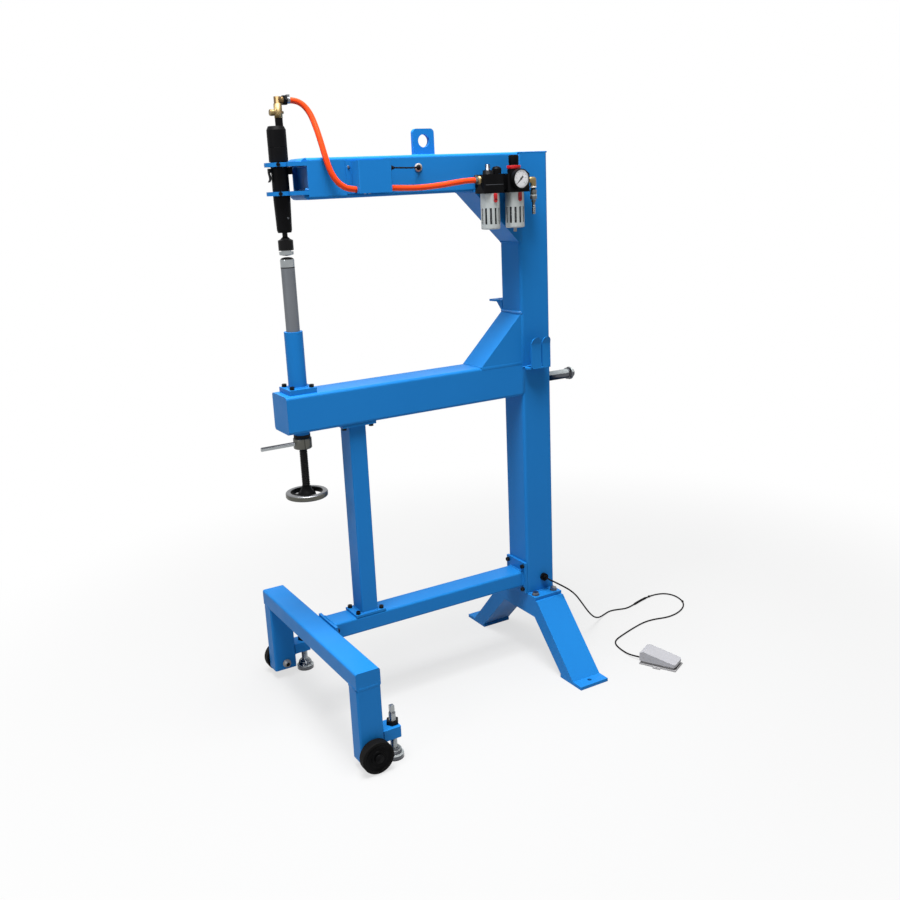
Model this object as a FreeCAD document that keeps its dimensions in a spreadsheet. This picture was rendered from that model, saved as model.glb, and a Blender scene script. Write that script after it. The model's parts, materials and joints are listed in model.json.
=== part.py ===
import FreeCAD
import Part
import math
import os
import re
from FreeCAD import Placement, Rotation, Vector
import Sketcher

# Sizes in millimetres; the origin is on the floor, midway between the two floor bolts.
SIZES = {
    # main frame of square tube
    "tube": 101.6,
    "tube_wall": 5,
    "tube_corner": 8,
    "column_top": 1551.5,
    "foot_plate": 10,
    "foot_plate_length": 180,
    "throat_depth": 688,
    "top_reach": 634.4,
    "lower_reach": 742.8,
    "lower_beam_top": 957.6,
    "end_recess": 12,
    "end_plate": 5,
    "upper_gusset": 147,
    "lower_gusset": 143,
    "gusset_wall": 5,
    # rear base
    "base_height": 207,
    "base_depth": 56,
    "base_top_half": 99,
    "base_leg_out": 278,
    "base_leg_width": 60,
    "base_under_half": 84,
    "base_wall": 6,
    "foot_thick": 10,
    "foot_outer": 318,
    "foot_inner": 216,
    "floor_bolt_spacing": 587,
    "floor_bolt_hole": 13,
    "base_bolt": 12,
    "base_bolt_pitch_x": 69,
    "base_bolt_pitch_y": 140,
    "base_bolt_grip": 25,
    # lifting eye
    "eye_offset": 324,
    "eye_width": 64.5,
    "eye_height": 68,
    "eye_thick": 12,
    "eye_corner": 11,
    "eye_hole": 34,
    "eye_hole_height": 36.5,
    # hammer clamps
    "clamp_thick": 10,
    "clamp_upper": 1533,
    "clamp_lower": 1463,
    "clamp_nose": 37,
    "clamp_step": 4,
    "clamp_screw_turn": 66,
    "clamp_tongue_gap": 1,
    # hammer
    "barrel": 43,
    "barrel_top": 1545,
    "barrel_straight": 1455,
    "barrel_tip": 1378,
    "barrel_tip_diameter": 38.2,
    "barrel_bottom": 1372,
    "barrel_nose_face": 34,
    "casing": 48,
    "casing_seam": 1579.5,
    "casing_shoulder": 1621,
    "casing_top": 1630,
    "casing_top_diameter": 39.4,
    "stub": 19.2,
    "stub_offset": 9.5,
    "stub_top": 1649,
    "casing_groove": 0.8,
    "air_passage": 8,
    "piston": 26,
    "piston_length": 60,
    "piston_rest": 1414,
    "piston_groove": 1,
    "ram_chamber_floor": 1392,
    "ram_shank": 13.4,
    "ram_head": 21.6,
    "ram_head_height": 10,
    "ram_shank_bottom": 1362,
    "holder": 38.6,
    "holder_top": 1353,
    "holder_bottom": 1328,
    "holder_neck": 26,
    "die_shank": 12,
    "die_shank_length": 16,
    "die_gap": 3,
    "upper_die": 37.4,
    "upper_die_top": 1325,
    "upper_die_edge": 1316.5,
    "upper_die_face": 1314,
    "lever_width": 11,
    "lever_thick": 2.8,
    "lever_lug": 4.6,
    "lever_lug_width": 6,
    "lever_top": 1525,
    "lever_clear": 0.9,
    "lever_close": 3.3,
    "lever_waist": 17,
    "lever_bend": 22,
    "lever_drop": 28.5,
    "lever_flare": 3.8,
    "lever_pin": 2.6,
    "lever_gap": 1.4,
    "exhaust_reach": 32,
    "exhaust_width": 15,
    "exhaust_low": 1514,
    "exhaust_top": 1532,
    # inlet valve of the hammer
    "valve_body": 20.4,
    "valve_top": 1683,
    "valve_axis": 1662,
    "valve_boss": 13,
    "valve_boss_reach": 11.2,
    "valve_stem": 7,
    "knob": 15.8,
    "knob_length": 11,
    "knob_gap": 0.3,
    "valve_pin": 6,
    "valve_pin_length": 7,
    "elbow": 17,
    "elbow_axis": 1691,
    "elbow_reach": 13.5,
    "nut_flats": 22,
    "nut_length": 10,
    # anvil
    "anvil_tube": 49,
    "anvil_tube_top": 1119.5,
    "anvil_flange": 76,
    "anvil_flange_thick": 14,
    "anvil_screw_pitch": 55,
    "post": 36,
    "post_bottom": 1005,
    "post_seam": 1.5,
    "lower_die": 34.8,
    "lower_die_height": 19,
    "lower_die_crown": 4.5,
    "boss": 44,
    "boss_height": 21.5,
    "lock_ring": 49.8,
    "lock_ring_height": 30,
    "lever_rod": 11.2,
    "lever_rod_reach": 117,
    "screw": 22,
    "screw_shoulder": 698,
    "spigot": 16,
    "spigot_top_length": 25,
    "wheel_centre": 675,
    "handwheel": 115,
    "handwheel_rim": 15.5,
    "handwheel_soft": 4.5,
    "hub": 34,
    "hub_height": 28,
    "hub_top": 24,
    "spoke_width": 17,
    "spoke_thick": 7,
    "spoke_angle": 50,
    # strut
    "strut_centre": 587.8,
    "strut_width": 50,
    "strut_depth": 63,
    "strut_wall": 4,
    "strut_corner": 4,
    "strut_flange": 100,
    "strut_flange_depth": 92,
    "strut_flange_thick": 7,
    "strut_screw_pitch_x": 81,
    "strut_screw_pitch_y": 64,
    "strut_foot": 94,
    "strut_foot_depth": 75,
    "strut_foot_pitch_x": 74,
    "strut_foot_pitch_y": 56,
    # tie bar, crossbar and front legs
    "bar_height": 48,
    "bar_width": 75,
    "bar_bottom": 241,
    "bar_wall": 4,
    "bar_corner": 6,
    "bar_flange": 8,
    "bar_flange_width": 102,
    "bar_flange_low": 221,
    "bar_flange_height": 100,
    "bar_bolt_pitch_y": 80,
    "bar_bolt_pitch_z": 76,
    "front_flange_width": 118,
    "front_bolt_pitch_y": 90,
    "front_bolt_pitch_z": 24,
    "crossbar_front": 781,
    "crossbar_depth": 70,
    "crossbar_height": 50,
    "crossbar_bottom": 235,
    "crossbar_length": 666,
    "leg_width": 52,
    "leg_bottom": 26.7,
    "lug_reach": 51,
    "lug_bottom": 68,
    "lug_height": 31,
    "lug_corner": 4,
    # wheels and jacks
    "wheel": 90,
    "wheel_width": 26,
    "wheel_centre_x": 743.5,
    "wheel_lift": 1,
    "wheel_gap": 1.5,
    "wheel_hub": 40,
    "wheel_tread": 8,
    "wheel_recess": 3,
    "wheel_edge": 3,
    "axle": 12,
    "axle_head": 24,
    "axle_head_thick": 5,
    "axle_washer": 26,
    "axle_nut_flats": 19,
    "axle_nut": 10,
    "axle_washer_thick": 2,
    "axle_spacer": 20,
    "jack_centre_x": 673,
    "jack_screw": 19,
    "jack_shoulder_top": 134,
    "jack_square": 12,
    "jack_top": 153,
    "jack_nut_flats": 30,
    "jack_nut_height": 12,
    "pad": 52,
    "pad_base": 12,
    "pad_step": 40,
    "pad_height": 30,
    "pad_socket": 18,
    "pad_neck": 30,
    "pad_neck_low": 24,
    # socket screws
    "cap_screw": 8,
    "cap_head": 13,
    "cap_head_height": 8,
    "cap_socket": 6,
    "screw_grip": 18,
    "pinch_screw": 6,
    "pinch_head": 10,
    "pinch_head_height": 6,
    # valve cover and valve
    "cover_left": 565,
    "cover_right": 472,
    "cover_depth": 44,
    "cover_low": 1460,
    "cover_high": 1541,
    "cover_wall": 2,
    "cover_flange": 16,
    "cover_screw_height": 1525.5,
    "cover_screw": 4,
    "cover_screw_grip": 6,
    "cover_bend": 2.5,
    "hose": 15,
    "hose_end": 209,
    "hose_height": 1469.7,
    "drop_end_y": 72,
    "run_start_y": 74,
    "valve_left": 548,
    "valve_right": 489,
    "valve_block_depth": 30,
    "valve_block_height": 24,
    "valve_coil": 22,
    "valve_coil_height": 38,
    "relief_y": 82,
    "relief_height": 1520,
    "relief_neck": 8,
    "relief_base": 16,
    "relief_length": 14,
    "cable": 4,
    "grommet_x": 370,
    "grommet": 21.4,
    "grommet_height": 1519,
    "grommet_neck": 14,
    "grommet_lip": 3,
    # air preparation unit
    "unit_y": 85,
    "unit_depth": 52,
    "unit_low": 1444,
    "unit_high": 1494,
    "unit_corner": 5,
    "port_height": 1480,
    "lubricator_x": 169,
    "lubricator_width": 65,
    "regulator_x": 88,
    "regulator_width": 72,
    "unit_mount": 30,
    "port_boss": 22,
    "turret": 29,
    "turret_height": 11,
    "turret_offset": 4,
    "plug": 13,
    "plug_height": 15,
    "drip_knob": 26,
    "drip_knob_height": 20,
    "drip_offset": 24,
    "knob_pin": 6,
    "knob_pin_length": 8,
    "bowl": 53,
    "bowl_low": 1348,
    "bowl_wall": 2,
    "bowl_corner": 4,
    "cup_gap": 1.5,
    "bowl_slot": 6,
    "bowl_slot_low": 14,
    "bowl_slot_height": 43,
    "bowl_slots": 12,
    "cup": 46,
    "drain": 9,
    "drain_length": 11,
    "latch_width": 11,
    "latch_low": 1410,
    "latch_thick": 3,
    "latch_gap": 0.3,
    "bonnet": 36,
    "bonnet_height": 11,
    "ring": 38,
    "ring_height": 11,
    "dial_knob": 28,
    "dial_knob_height": 27,
    "gauge": 54,
    "gauge_thick": 16,
    "gauge_face_y": 130,
    "gauge_height": 1478.5,
    "gauge_x": 93,
    "gauge_dial": 48,
    "gauge_recess": 4,
    "gauge_stem": 11,
    "needle_pin": 2,
    "needle_eye": 6,
    "needle_thick": 0.6,
    "needle_width": 2,
    "needle_tail": 7,
    "needle_rest": 45,
    "needle_length": 17,
    "inlet_x": 23.5,
    "inlet_elbow": 17,
    "inlet_height": 1474.5,
    "coupler_core": 13,
    "coupler_core_low": 1420,
    "coupler_travel": 4,
    "plug_stem": 8,
    "plug_stem_length": 18,
    "coupler": 19,
    "coupler_top": 1448,
    "coupler_low": 1422,
    "nipple": 10,
    "nipple_low": 1381,
    "barb": 11,
    "barb_pitch": 6,
    "clamp_band": 8,
    "band_thick": 0.8,
    # pedal holder
    "holder_shelf_z": 937,
    "holder_plate": 5,
    "holder_left": 57,
    "holder_right": 27,
    "holder_reach": 34,
    "finger_height": 70,
    "finger_hook": 20,
    "finger_lean": 9,
    "finger_a_left": 41,
    "finger_a_width": 34,
    "finger_b_left": 2,
    "finger_b_width": 29,
    # die rack and hose peg
    "rack_height": 1126,
    "rack_thick": 6,
    "rack_reach": 50,
    "rack_hole": 20,
    "rack_hole_first": 36,
    "rack_hole_pitch": 36,
    "rack_wing": 11,
    "rack_rib": 28,
    "peg": 29,
    "peg_height": 889,
    "peg_length": 112,
    "peg_flange": 39,
    "peg_flange_thick": 5,
    "peg_cap": 9,
    # cord gland and foot pedal
    "gland_x": 9.8,
    "gland_z": 262,
    "gland": 24,
    "gland_reach": 10,
    "gland_nose": 12,
    "gland_nose_reach": 18,
    "gland_thread": 16,
    "cord": 5,
    "sleeve": 8,
    "tie_width": 4,
    "pedal_x": 199,
    "pedal_y": -290,
    "pedal_turn": -63.2,
    "pedal_length": 118,
    "pedal_width": 64,
    "pedal_flange": 4,
    "pedal_ear": 8,
    "pedal_rim": 11,
    "pedal_block": 20,
    "pedal_back_drop": 4,
    "pedal_crest": 14,
    "pedal_boss": 9,
    "pedal_cord_side": 26,
    "pedal_cord_height": 10,
    "pedal_ear_hole": 5,
    "pedal_back": 43,
    "pedal_toe": 21,
    "pedal_skirt": 12,
    "pedal_wall": 2.5,
    "pedal_corner": 10,
    "pedal_pin": 4,
    "pedal_pin_from_back": 14,
    "pedal_pin_height": 24,
    # fits
    "running_gap": 0.08,
    "seat_gap": 0.3,
    "hole_gap": 0.3,
}

doc = FreeCAD.newDocument("planishing_hammer")
sheet = doc.addObject("Spreadsheet::Sheet", "sizes")
for row, (name, size) in enumerate(SIZES.items(), 1):
    sheet.set(f"A{row}", name)
    sheet.set(f"B{row}", str(size))
    sheet.setAlias(f"B{row}", name)
doc.recompute()

# Places that follow from the sizes
HALF = "tube / 2"
AXIS = "(-tube / 2 - throat_depth)"
VALVE_X = f"({AXIS} + stub_offset)"
TOP_END = "(-tube / 2 - top_reach)"
LOWER_END = "(-tube / 2 - lower_reach)"
TOP_UNDER = "(column_top - tube)"
LOWER_UNDER = "(lower_beam_top - tube)"
COLUMN_FOOT = "(base_height + foot_plate)"
BAR_TOP = "(bar_bottom + bar_height)"
CROSSBAR_BACK = "(-crossbar_front + crossbar_depth)"
CROSSBAR_TOP = "(crossbar_bottom + crossbar_height)"
LEG_INNER = "(crossbar_length / 2 - leg_width)"
LEG_OUTER = "(crossbar_length / 2)"
LUG_TOP = "(lug_bottom + lug_height)"
WHEEL_Z = "(wheel / 2 + wheel_lift)"
FLANGE_TOP = "(lower_beam_top + anvil_flange_thick)"
FIT = "running_gap"

TURN = {
    "z": Rotation(),
    "-z": Rotation(Vector(1, 0, 0), 180),
    "x": Rotation(Vector(1, 1, 1), 120),
    "-x": Rotation(Vector(0, 1, 0), -90),
    "y": Rotation(Vector(1, 0, 0), -90),
    "-y": Rotation(Vector(1, 0, 0), 90),
}


def bound(expression):
    """Write an expression of size names the way the document reads it."""
    def cell(found):
        word = found.group()
        return "sizes." + word if word in SIZES else word
    return re.sub(r"[a-z_][a-z_0-9]*", cell, str(expression))


def number(expression):
    """The value of an expression of size names."""
    return float(sheet.evalExpression(bound(expression)))


def place(thing, at, turn=None):
    """Put a thing at three expressions, turned by a rotation."""
    thing.Placement = Placement(Vector(), turn or Rotation())
    for axis, expression in zip("xyz", at):
        thing.setExpression("Placement.Base." + axis, bound(expression))
    return thing


def box(low, high):
    """A block between two corners."""
    block = doc.addObject("Part::Box", "block")
    for size, start, end in zip(("Length", "Width", "Height"), low, high):
        block.setExpression(size, bound(f"({end}) - ({start})"))
    return place(block, low)


def spun_box(low, high, centre, angle):
    """A block between two corners, turned about an upright line through a centre."""
    block = box(low, high)
    x, y, z = low
    across = f"{centre[0]} + cos({angle}) * ({x}) - sin({angle}) * ({y})"
    along = f"{centre[1]} + sin({angle}) * ({x}) + cos({angle}) * ({y})"
    return place(block, (across, along, z), Rotation(Vector(0, 0, 1), number(angle)))


def rod(diameter, at, length, along="z"):
    """A round bar that starts at a point and runs along an axis."""
    bar = doc.addObject("Part::Cylinder", "rod")
    bar.setExpression("Radius", bound(f"({diameter}) / 2"))
    bar.setExpression("Height", bound(length))
    return place(bar, at, TURN[along])


def prism(flats, at, length, along="z"):
    """A hexagonal bar by its size across flats."""
    bar = doc.addObject("Part::Prism", "hexagon")
    bar.Polygon = 6
    bar.setExpression("Circumradius", bound(f"({flats}) / sqrt(3)"))
    bar.setExpression("Height", bound(length))
    return place(bar, at, TURN[along])


def cone(low_diameter, high_diameter, at, length, along="z"):
    """A tapered round bar."""
    bar = doc.addObject("Part::Cone", "taper")
    bar.setExpression("Radius1", bound(f"({low_diameter}) / 2"))
    bar.setExpression("Radius2", bound(f"({high_diameter}) / 2"))
    bar.setExpression("Height", bound(length))
    return place(bar, at, TURN[along])


def outline(body, plane, points):
    """A closed sketch through points; a third value rounds the edge that follows its point."""
    sketch = body.newObject("Sketcher::SketchObject", "outline")
    face = next(found for found in body.Origin.OriginFeatures if found.Role == plane)
    sketch.AttachmentSupport = [(face, "")]
    sketch.MapMode = "FlatFace"
    places = [Vector(number(point[0]), number(point[1]), 0) for point in points]
    ends = []
    for index, point in enumerate(points):
        start = places[index]
        end = places[(index + 1) % len(points)]
        if len(point) == 2:
            sketch.addGeometry(Part.LineSegment(start, end), False)
            ends.append((1, 2))
            continue
        radius = number(point[2])
        chord = end - start
        side = Vector(-chord.y, chord.x, 0).normalize()
        offset = math.sqrt(max(radius ** 2 - (chord.Length / 2) ** 2, 0))
        middle = (start + end) * 0.5 + side * math.copysign(offset, radius)
        circle = Part.Circle(middle, Vector(0, 0, 1), abs(radius))
        first, last = (start, end) if radius > 0 else (end, start)
        angles = [math.atan2(spot.y - middle.y, spot.x - middle.x) for spot in (first, last)]
        sketch.addGeometry(Part.ArcOfCircle(circle, *angles), False)
        ends.append((1, 2) if radius > 0 else (2, 1))
    rules = []
    names = []
    for index, point in enumerate(points):
        following = (index + 1) % len(points)
        rules.append(Sketcher.Constraint("Coincident", index, ends[index][1], following,
                                         ends[following][0]))
        names.append(None)
        for kind, expression, distance in zip("xy", point, (places[index].x, places[index].y)):
            rule = "DistanceX" if kind == "x" else "DistanceY"
            rules.append(Sketcher.Constraint(rule, -1, 1, index, ends[index][0], distance))
            names.append((f"{kind}{index}", expression))
        if len(point) == 3:
            rules.append(Sketcher.Constraint("Radius", index, abs(number(point[2]))))
            names.append((f"r{index}", f"abs({point[2]})"))
    sketch.addConstraint(rules)
    for index, named in enumerate(names):
        if named:
            sketch.renameConstraint(index, named[0])
            sketch.setExpression("Constraints." + named[0], bound(named[1]))
    return sketch


def turned(points, at=("0", "0", "0"), along="z"):
    """A turned piece: (radius, height) points spun about its own axis."""
    body = doc.addObject("PartDesign::Body", "turning")
    sketch = outline(body, "XZ_Plane", points)
    feature = body.newObject("PartDesign::Revolution", "spin")
    feature.Profile = sketch
    feature.ReferenceAxis = (sketch, ["V_Axis"])
    feature.Angle = 360
    return place(body, at, TURN[along])


def plate(points, thickness, at=("0", "0", "0"), along="z"):
    """A flat piece cut to an outline; along x the outline is (y, z), along -y it is (x, z)."""
    body = doc.addObject("PartDesign::Body", "cutting")
    feature = body.newObject("PartDesign::Pad", "thickness")
    feature.Profile = outline(body, "XY_Plane", points)
    feature.setExpression("Length", bound(thickness))
    return place(body, at, TURN[along])


def joined(*things):
    """Things welded into one solid."""
    weld = doc.addObject("Part::MultiFuse", "weld")
    weld.Shapes = list(things)
    weld.Refine = True
    return weld


def group(*things):
    """Separate solids that share a name."""
    set_of = doc.addObject("Part::Compound", "set")
    set_of.Links = list(things)
    return set_of


def cut(base, *tools):
    """A base with tools taken out of it."""
    left = doc.addObject("Part::Cut", "cut")
    left.Base = base
    left.Tool = tools[0] if len(tools) == 1 else group(*tools)
    left.Refine = True
    return left


def rounded(thing, radius, chosen):
    """A thing with its chosen edges rounded."""
    doc.recompute()
    soft = doc.addObject("Part::Fillet", "round")
    soft.Base = thing
    size = number(radius)
    edges = [index for index, edge in enumerate(thing.Shape.Edges, 1) if chosen(edge)]
    soft.Edges = [(index, size, size) for index in edges]
    return soft


def straight(axis):
    """Chooses straight edges that run along an axis."""
    def chosen(edge):
        if edge.Curve.TypeId != "Part::GeomLine":
            return False
        return abs(abs(edge.Curve.Direction.dot(axis)) - 1) < 1e-6
    return chosen


ALONG = {"x": Vector(1, 0, 0), "y": Vector(0, 1, 0), "z": Vector(0, 0, 1)}


def hollow_bar(low, high, axis, wall, corner, ends):
    """A rectangular tube with rounded long edges; ends are the solid lengths at its two ends."""
    inner_low = [f"{value} + {wall}" for value in low]
    inner_high = [f"{value} - {wall}" for value in high]
    index = "xyz".index(axis)
    inner_low[index] = f"{low[index]} + ({ends[0]})"
    inner_high[index] = f"{high[index]} - ({ends[1]})"
    outer = rounded(box(low, high), corner, straight(ALONG[axis]))
    return cut(outer, box(inner_low, inner_high))


def rectangle(centre, pitch_x, pitch_y):
    """The four corners of a screw pattern."""
    return [(f"{centre[0]} + {i} * {pitch_x} / 2", f"{centre[1]} + {j} * {pitch_y} / 2")
            for i in (-1, 1) for j in (-1, 1)]


def socket_screw(at, along, shank="cap_screw", head="cap_head", height="cap_head_height",
                 grip="screw_grip"):
    """A socket screw whose head sits at a point and whose shank runs along an axis."""
    index = "xyz".index(along[-1])
    sign = "-" if along[0] == "-" else "+"
    head_at = list(at)
    head_at[index] = f"{at[index]} {'+' if sign == '-' else '-'} {height}"
    screw = joined(rod(head, head_at, height, along), rod(shank, at, grip, along))
    return cut(screw, prism(f"{head} * cap_socket / cap_head", head_at, f"{height} / 2", along))


def screw_holes(places, along, diameter="cap_screw", length="screw_grip"):
    """Clearance holes for screws at given places."""
    return [rod(f"{diameter} + 2 * hole_gap", at, f"{length} + 1", along) for at in places]


def hex_bolt(at, diameter, grip):
    """A bolt with its washer, head up, at a point on the plate."""
    x, y, z = at
    washer = rod(f"{diameter} * 2", at, f"{diameter} / 6")
    head = prism(f"{diameter} * 1.5", (x, y, f"{z} + {diameter} / 6"), f"{diameter} * 0.6")
    return joined(washer, head, rod(diameter, at, grip, "-z"))


def tube_path(name, points, diameter):
    """A round flexible line along hand-chosen points, its corners rounded by tangent arcs."""
    spots = [Vector(*point) for point in points]
    edges = []
    radii = []
    start = spots[0]
    for before, corner, after in zip(spots, spots[1:], spots[2:]):
        back = (before - corner).normalize()
        ahead = (after - corner).normalize()
        turn = math.pi - back.getAngle(ahead)
        reach = 0.45 * min((before - corner).Length, (after - corner).Length)
        radius = reach / math.tan(turn / 2)
        radii.append(radius)
        entry = corner + back * reach
        leave = corner + ahead * reach
        inward = (back + ahead).normalize()
        centre = corner + inward * (radius / math.cos(turn / 2))
        edges.append(Part.LineSegment(start, entry).toShape())
        edges.append(Part.Arc(entry, centre - inward * radius, leave).toShape())
        start = leave
    edges.append(Part.LineSegment(start, spots[-1]).toShape())
    path = Part.Wire(edges)
    section = Part.Wire(Part.Circle(spots[0], spots[1] - spots[0], diameter / 2).toShape())
    shape = path.makePipeShell([section], True, False)
    line = doc.addObject("Part::Feature", "line")
    line.Shape = shape
    expected = math.pi * diameter ** 2 / 4 * path.Length
    print(f"{name}: length {path.Length:.0f}, smallest radius {min(radii):.0f}, "
          f"volume ratio {shape.Volume / expected:.4f}, {len(points)} points")
    return line


def column():
    """The upright: a square tube on its foot plate, with a capped top."""
    low = ("-tube / 2", "-tube / 2", COLUMN_FOOT)
    high = (HALF, HALF, "column_top")
    upright = hollow_bar(low, high, "z", "tube_wall", "tube_corner", ("-1", "tube_wall"))
    foot = box(("-tube / 2", "-foot_plate_length / 2", "base_height"),
               (HALF, "foot_plate_length / 2", COLUMN_FOOT))
    gland = rod("gland_thread + 2 * hole_gap", ("gland_x", "-tube / 2 - 1", "gland_z"), "tube_wall + 2",
                "y")
    holes = screw_holes(base_bolt_places(), "-z", "base_bolt", "foot_plate")
    return cut(joined(upright, foot), gland, *holes, *screw_holes(bar_rear_places(), "x"))


def top_beam():
    """The upper arm, butted to the column, with a recessed plate in its free end."""
    low = (TOP_END, "-tube / 2", TOP_UNDER)
    high = ("-tube / 2", HALF, "column_top")
    arm = hollow_bar(low, high, "x", "tube_wall", "tube_corner", ("-1", "-1"))
    inner = "tube / 2 - tube_wall"
    wall = box((f"{TOP_END} + end_recess", f"-({inner})", f"{TOP_UNDER} + tube_wall"),
               (f"{TOP_END} + end_recess + end_plate", inner, "column_top - tube_wall"))
    grommet = rod("grommet_neck + 2 * hole_gap", ("-grommet_x", "-tube / 2 - 1", "grommet_height"),
                  "tube_wall + 2", "y")
    screws = screw_holes(cover_screw_places(), "y", "cover_screw", "cover_screw_grip")
    return cut(joined(arm, wall), grommet, *screws)


def lower_beam():
    """The lower arm, closed at its free end, with the threaded boss under the anvil."""
    low = (LOWER_END, "-tube / 2", LOWER_UNDER)
    high = ("-tube / 2", HALF, "lower_beam_top")
    arm = hollow_bar(low, high, "x", "tube_wall", "tube_corner", ("tube_wall", "-1"))
    boss = rod("boss", (AXIS, "0", f"{LOWER_UNDER} - boss_height"), "boss_height")
    thread = rod(f"screw + 2 * {FIT}", (AXIS, "0", f"{LOWER_UNDER} - boss_height - 1"),
                 "boss_height + tube_wall + 2")
    clear = rod("screw + 2", (AXIS, "0", "lower_beam_top - tube_wall - 1"), "tube_wall + 2")
    holes = screw_holes(anvil_places(), "-z") + screw_holes(strut_top_places(), "z")
    return cut(joined(arm, boss), thread, clear, *holes)


def corner_gussets():
    """Two hollow corner pieces that stiffen the throat."""
    made = []
    for edge, size, way in ((TOP_UNDER, "upper_gusset", "-"), ("lower_beam_top", "lower_gusset", "+")):
        skins = []
        for leg, wall in ((size, "0"), (f"{size} - gusset_wall * sqrt(2)", "gusset_wall")):
            corner = ("-tube / 2", edge)
            far = (f"-tube / 2 - ({leg})", edge)
            tip = ("-tube / 2", f"{edge} {way} ({leg})")
            order = (far, tip, corner) if way == "-" else (far, corner, tip)
            skins.append(plate(order, f"tube - 2 * {wall}", ("0", f"tube / 2 - {wall}", "0"), "-y"))
        made.append(cut(*skins))
    return group(*made)


def lifting_eye():
    """A plate with rounded corners and a hole, welded to the top beam."""
    left = "-eye_offset - eye_width / 2"
    right = "-eye_offset + eye_width / 2"
    top = "column_top + eye_height"
    eye = plate([(left, "column_top"), (right, "column_top"), (right, f"{top} - eye_corner", "eye_corner"),
                 (f"{right} - eye_corner", top), (f"{left} + eye_corner", top, "eye_corner"),
                 (left, f"{top} - eye_corner")],
                "eye_thick", ("0", "eye_thick / 2", "0"), "-y")
    hole = rod("eye_hole", ("-eye_offset", "-eye_thick", "column_top + eye_hole_height"), "2 * eye_thick",
               "y")
    return cut(eye, hole)


def facing_operator(thing):
    """Turn a piece made on the x axis about the hammer's axis, to the operator's side."""
    return place(thing, (AXIS, "0", "0"), Rotation(Vector(0, 0, 1), number("clamp_screw_turn")))


def hammer_clamps():
    """Two plates with a round nose that hold the hammer's barrel, each with a screw at its side."""
    made = []
    inner = "(tube / 2 - tube_wall - clamp_tongue_gap)"
    seat = f"{TOP_END} + end_recess"
    step = f"{AXIS} + clamp_step"
    for low in ("clamp_upper", "clamp_lower"):
        blank = plate([(step, "-tube / 2"), (TOP_END, "-tube / 2"), (TOP_END, f"-{inner}"),
                       (seat, f"-{inner}"), (seat, inner), (TOP_END, inner), (TOP_END, HALF), (step, HALF)],
                      "clamp_thick", ("0", "0", low))
        nose = rod("2 * clamp_nose", (AXIS, "0", low), "clamp_thick")
        bore = rod(f"barrel + 2 * {FIT}", (AXIS, "0", f"{low} - 1"), "clamp_thick + 2")
        hole = rod("pinch_screw + 2 * hole_gap", ("-clamp_nose - 1", "0", f"{low} + clamp_thick / 2"),
                   "clamp_nose", "x")
        made.append(cut(joined(blank, nose), bore, facing_operator(group(hole))))
    return group(*made)


def outermost(axis, expression):
    """Chooses upright edges that stand at one place along an axis."""
    def chosen(edge):
        spot = getattr(edge.CenterOfMass, axis)
        return straight(ALONG["z"])(edge) and abs(spot - number(expression)) < 1e-4
    return chosen


def anvil_places():
    return [(x, y, FLANGE_TOP) for x, y in rectangle((AXIS, "0"), "anvil_screw_pitch", "anvil_screw_pitch")]


def strut_top_places():
    corners = rectangle(("-strut_centre", "0"), "strut_screw_pitch_x", "strut_screw_pitch_y")
    return [(x, y, f"{LOWER_UNDER} - strut_flange_thick") for x, y in corners]


def strut_foot_places():
    corners = rectangle(("-strut_centre", "0"), "strut_foot_pitch_x", "strut_foot_pitch_y")
    return [(x, y, f"{BAR_TOP} + strut_flange_thick") for x, y in corners]


def bar_rear_places():
    middle = "bar_flange_low + bar_flange_height / 2"
    corners = rectangle(("0", middle), "bar_bolt_pitch_y", "bar_bolt_pitch_z")
    return [("-tube / 2 - bar_flange", y, z) for y, z in corners]


def bar_front_places():
    middle = "crossbar_bottom + crossbar_height / 2"
    corners = rectangle(("0", middle), "front_bolt_pitch_y", "front_bolt_pitch_z")
    return [(f"{CROSSBAR_BACK} + bar_flange", y, z) for y, z in corners]


def base_bolt_places():
    return [(x, y, COLUMN_FOOT) for x, y in rectangle(("0", "0"), "base_bolt_pitch_x", "base_bolt_pitch_y")]


def cover_screw_places():
    x = "-cover_left - cover_flange / 2"
    return [(x, "-tube / 2 - cover_wall", "cover_screw_height"),
            (x, "-tube / 2 - cover_wall", "cover_low + cover_high - cover_screw_height")]


def black_fasteners():
    """Socket screws of the clamps, flanges and bars, and the jacks' lock nuts."""
    screws = []
    for low in ("clamp_upper", "clamp_lower"):
        seat = ("-clamp_nose - seat_gap", "0", f"{low} + clamp_thick / 2")
        screws.append(facing_operator(socket_screw(seat, "x", "pinch_screw", "pinch_head", "pinch_head_height",
                                                   "clamp_nose - barrel / 2 - hole_gap")))
    for places, along in ((anvil_places(), "-z"), (strut_top_places(), "z"), (strut_foot_places(), "-z"),
                          (bar_rear_places(), "x"), (bar_front_places(), "-x")):
        screws += [socket_screw(at, along) for at in places]
    for side in ("-1", "1"):
        at = ("-jack_centre_x", f"{side} * ({LEG_INNER} + {LEG_OUTER}) / 2", LUG_TOP)
        nut = prism("jack_nut_flats", at, "jack_nut_height")
        screws.append(cut(nut, rod(f"jack_screw + 2 * {FIT}", at, "jack_nut_height")))
    return group(*screws)


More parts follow.
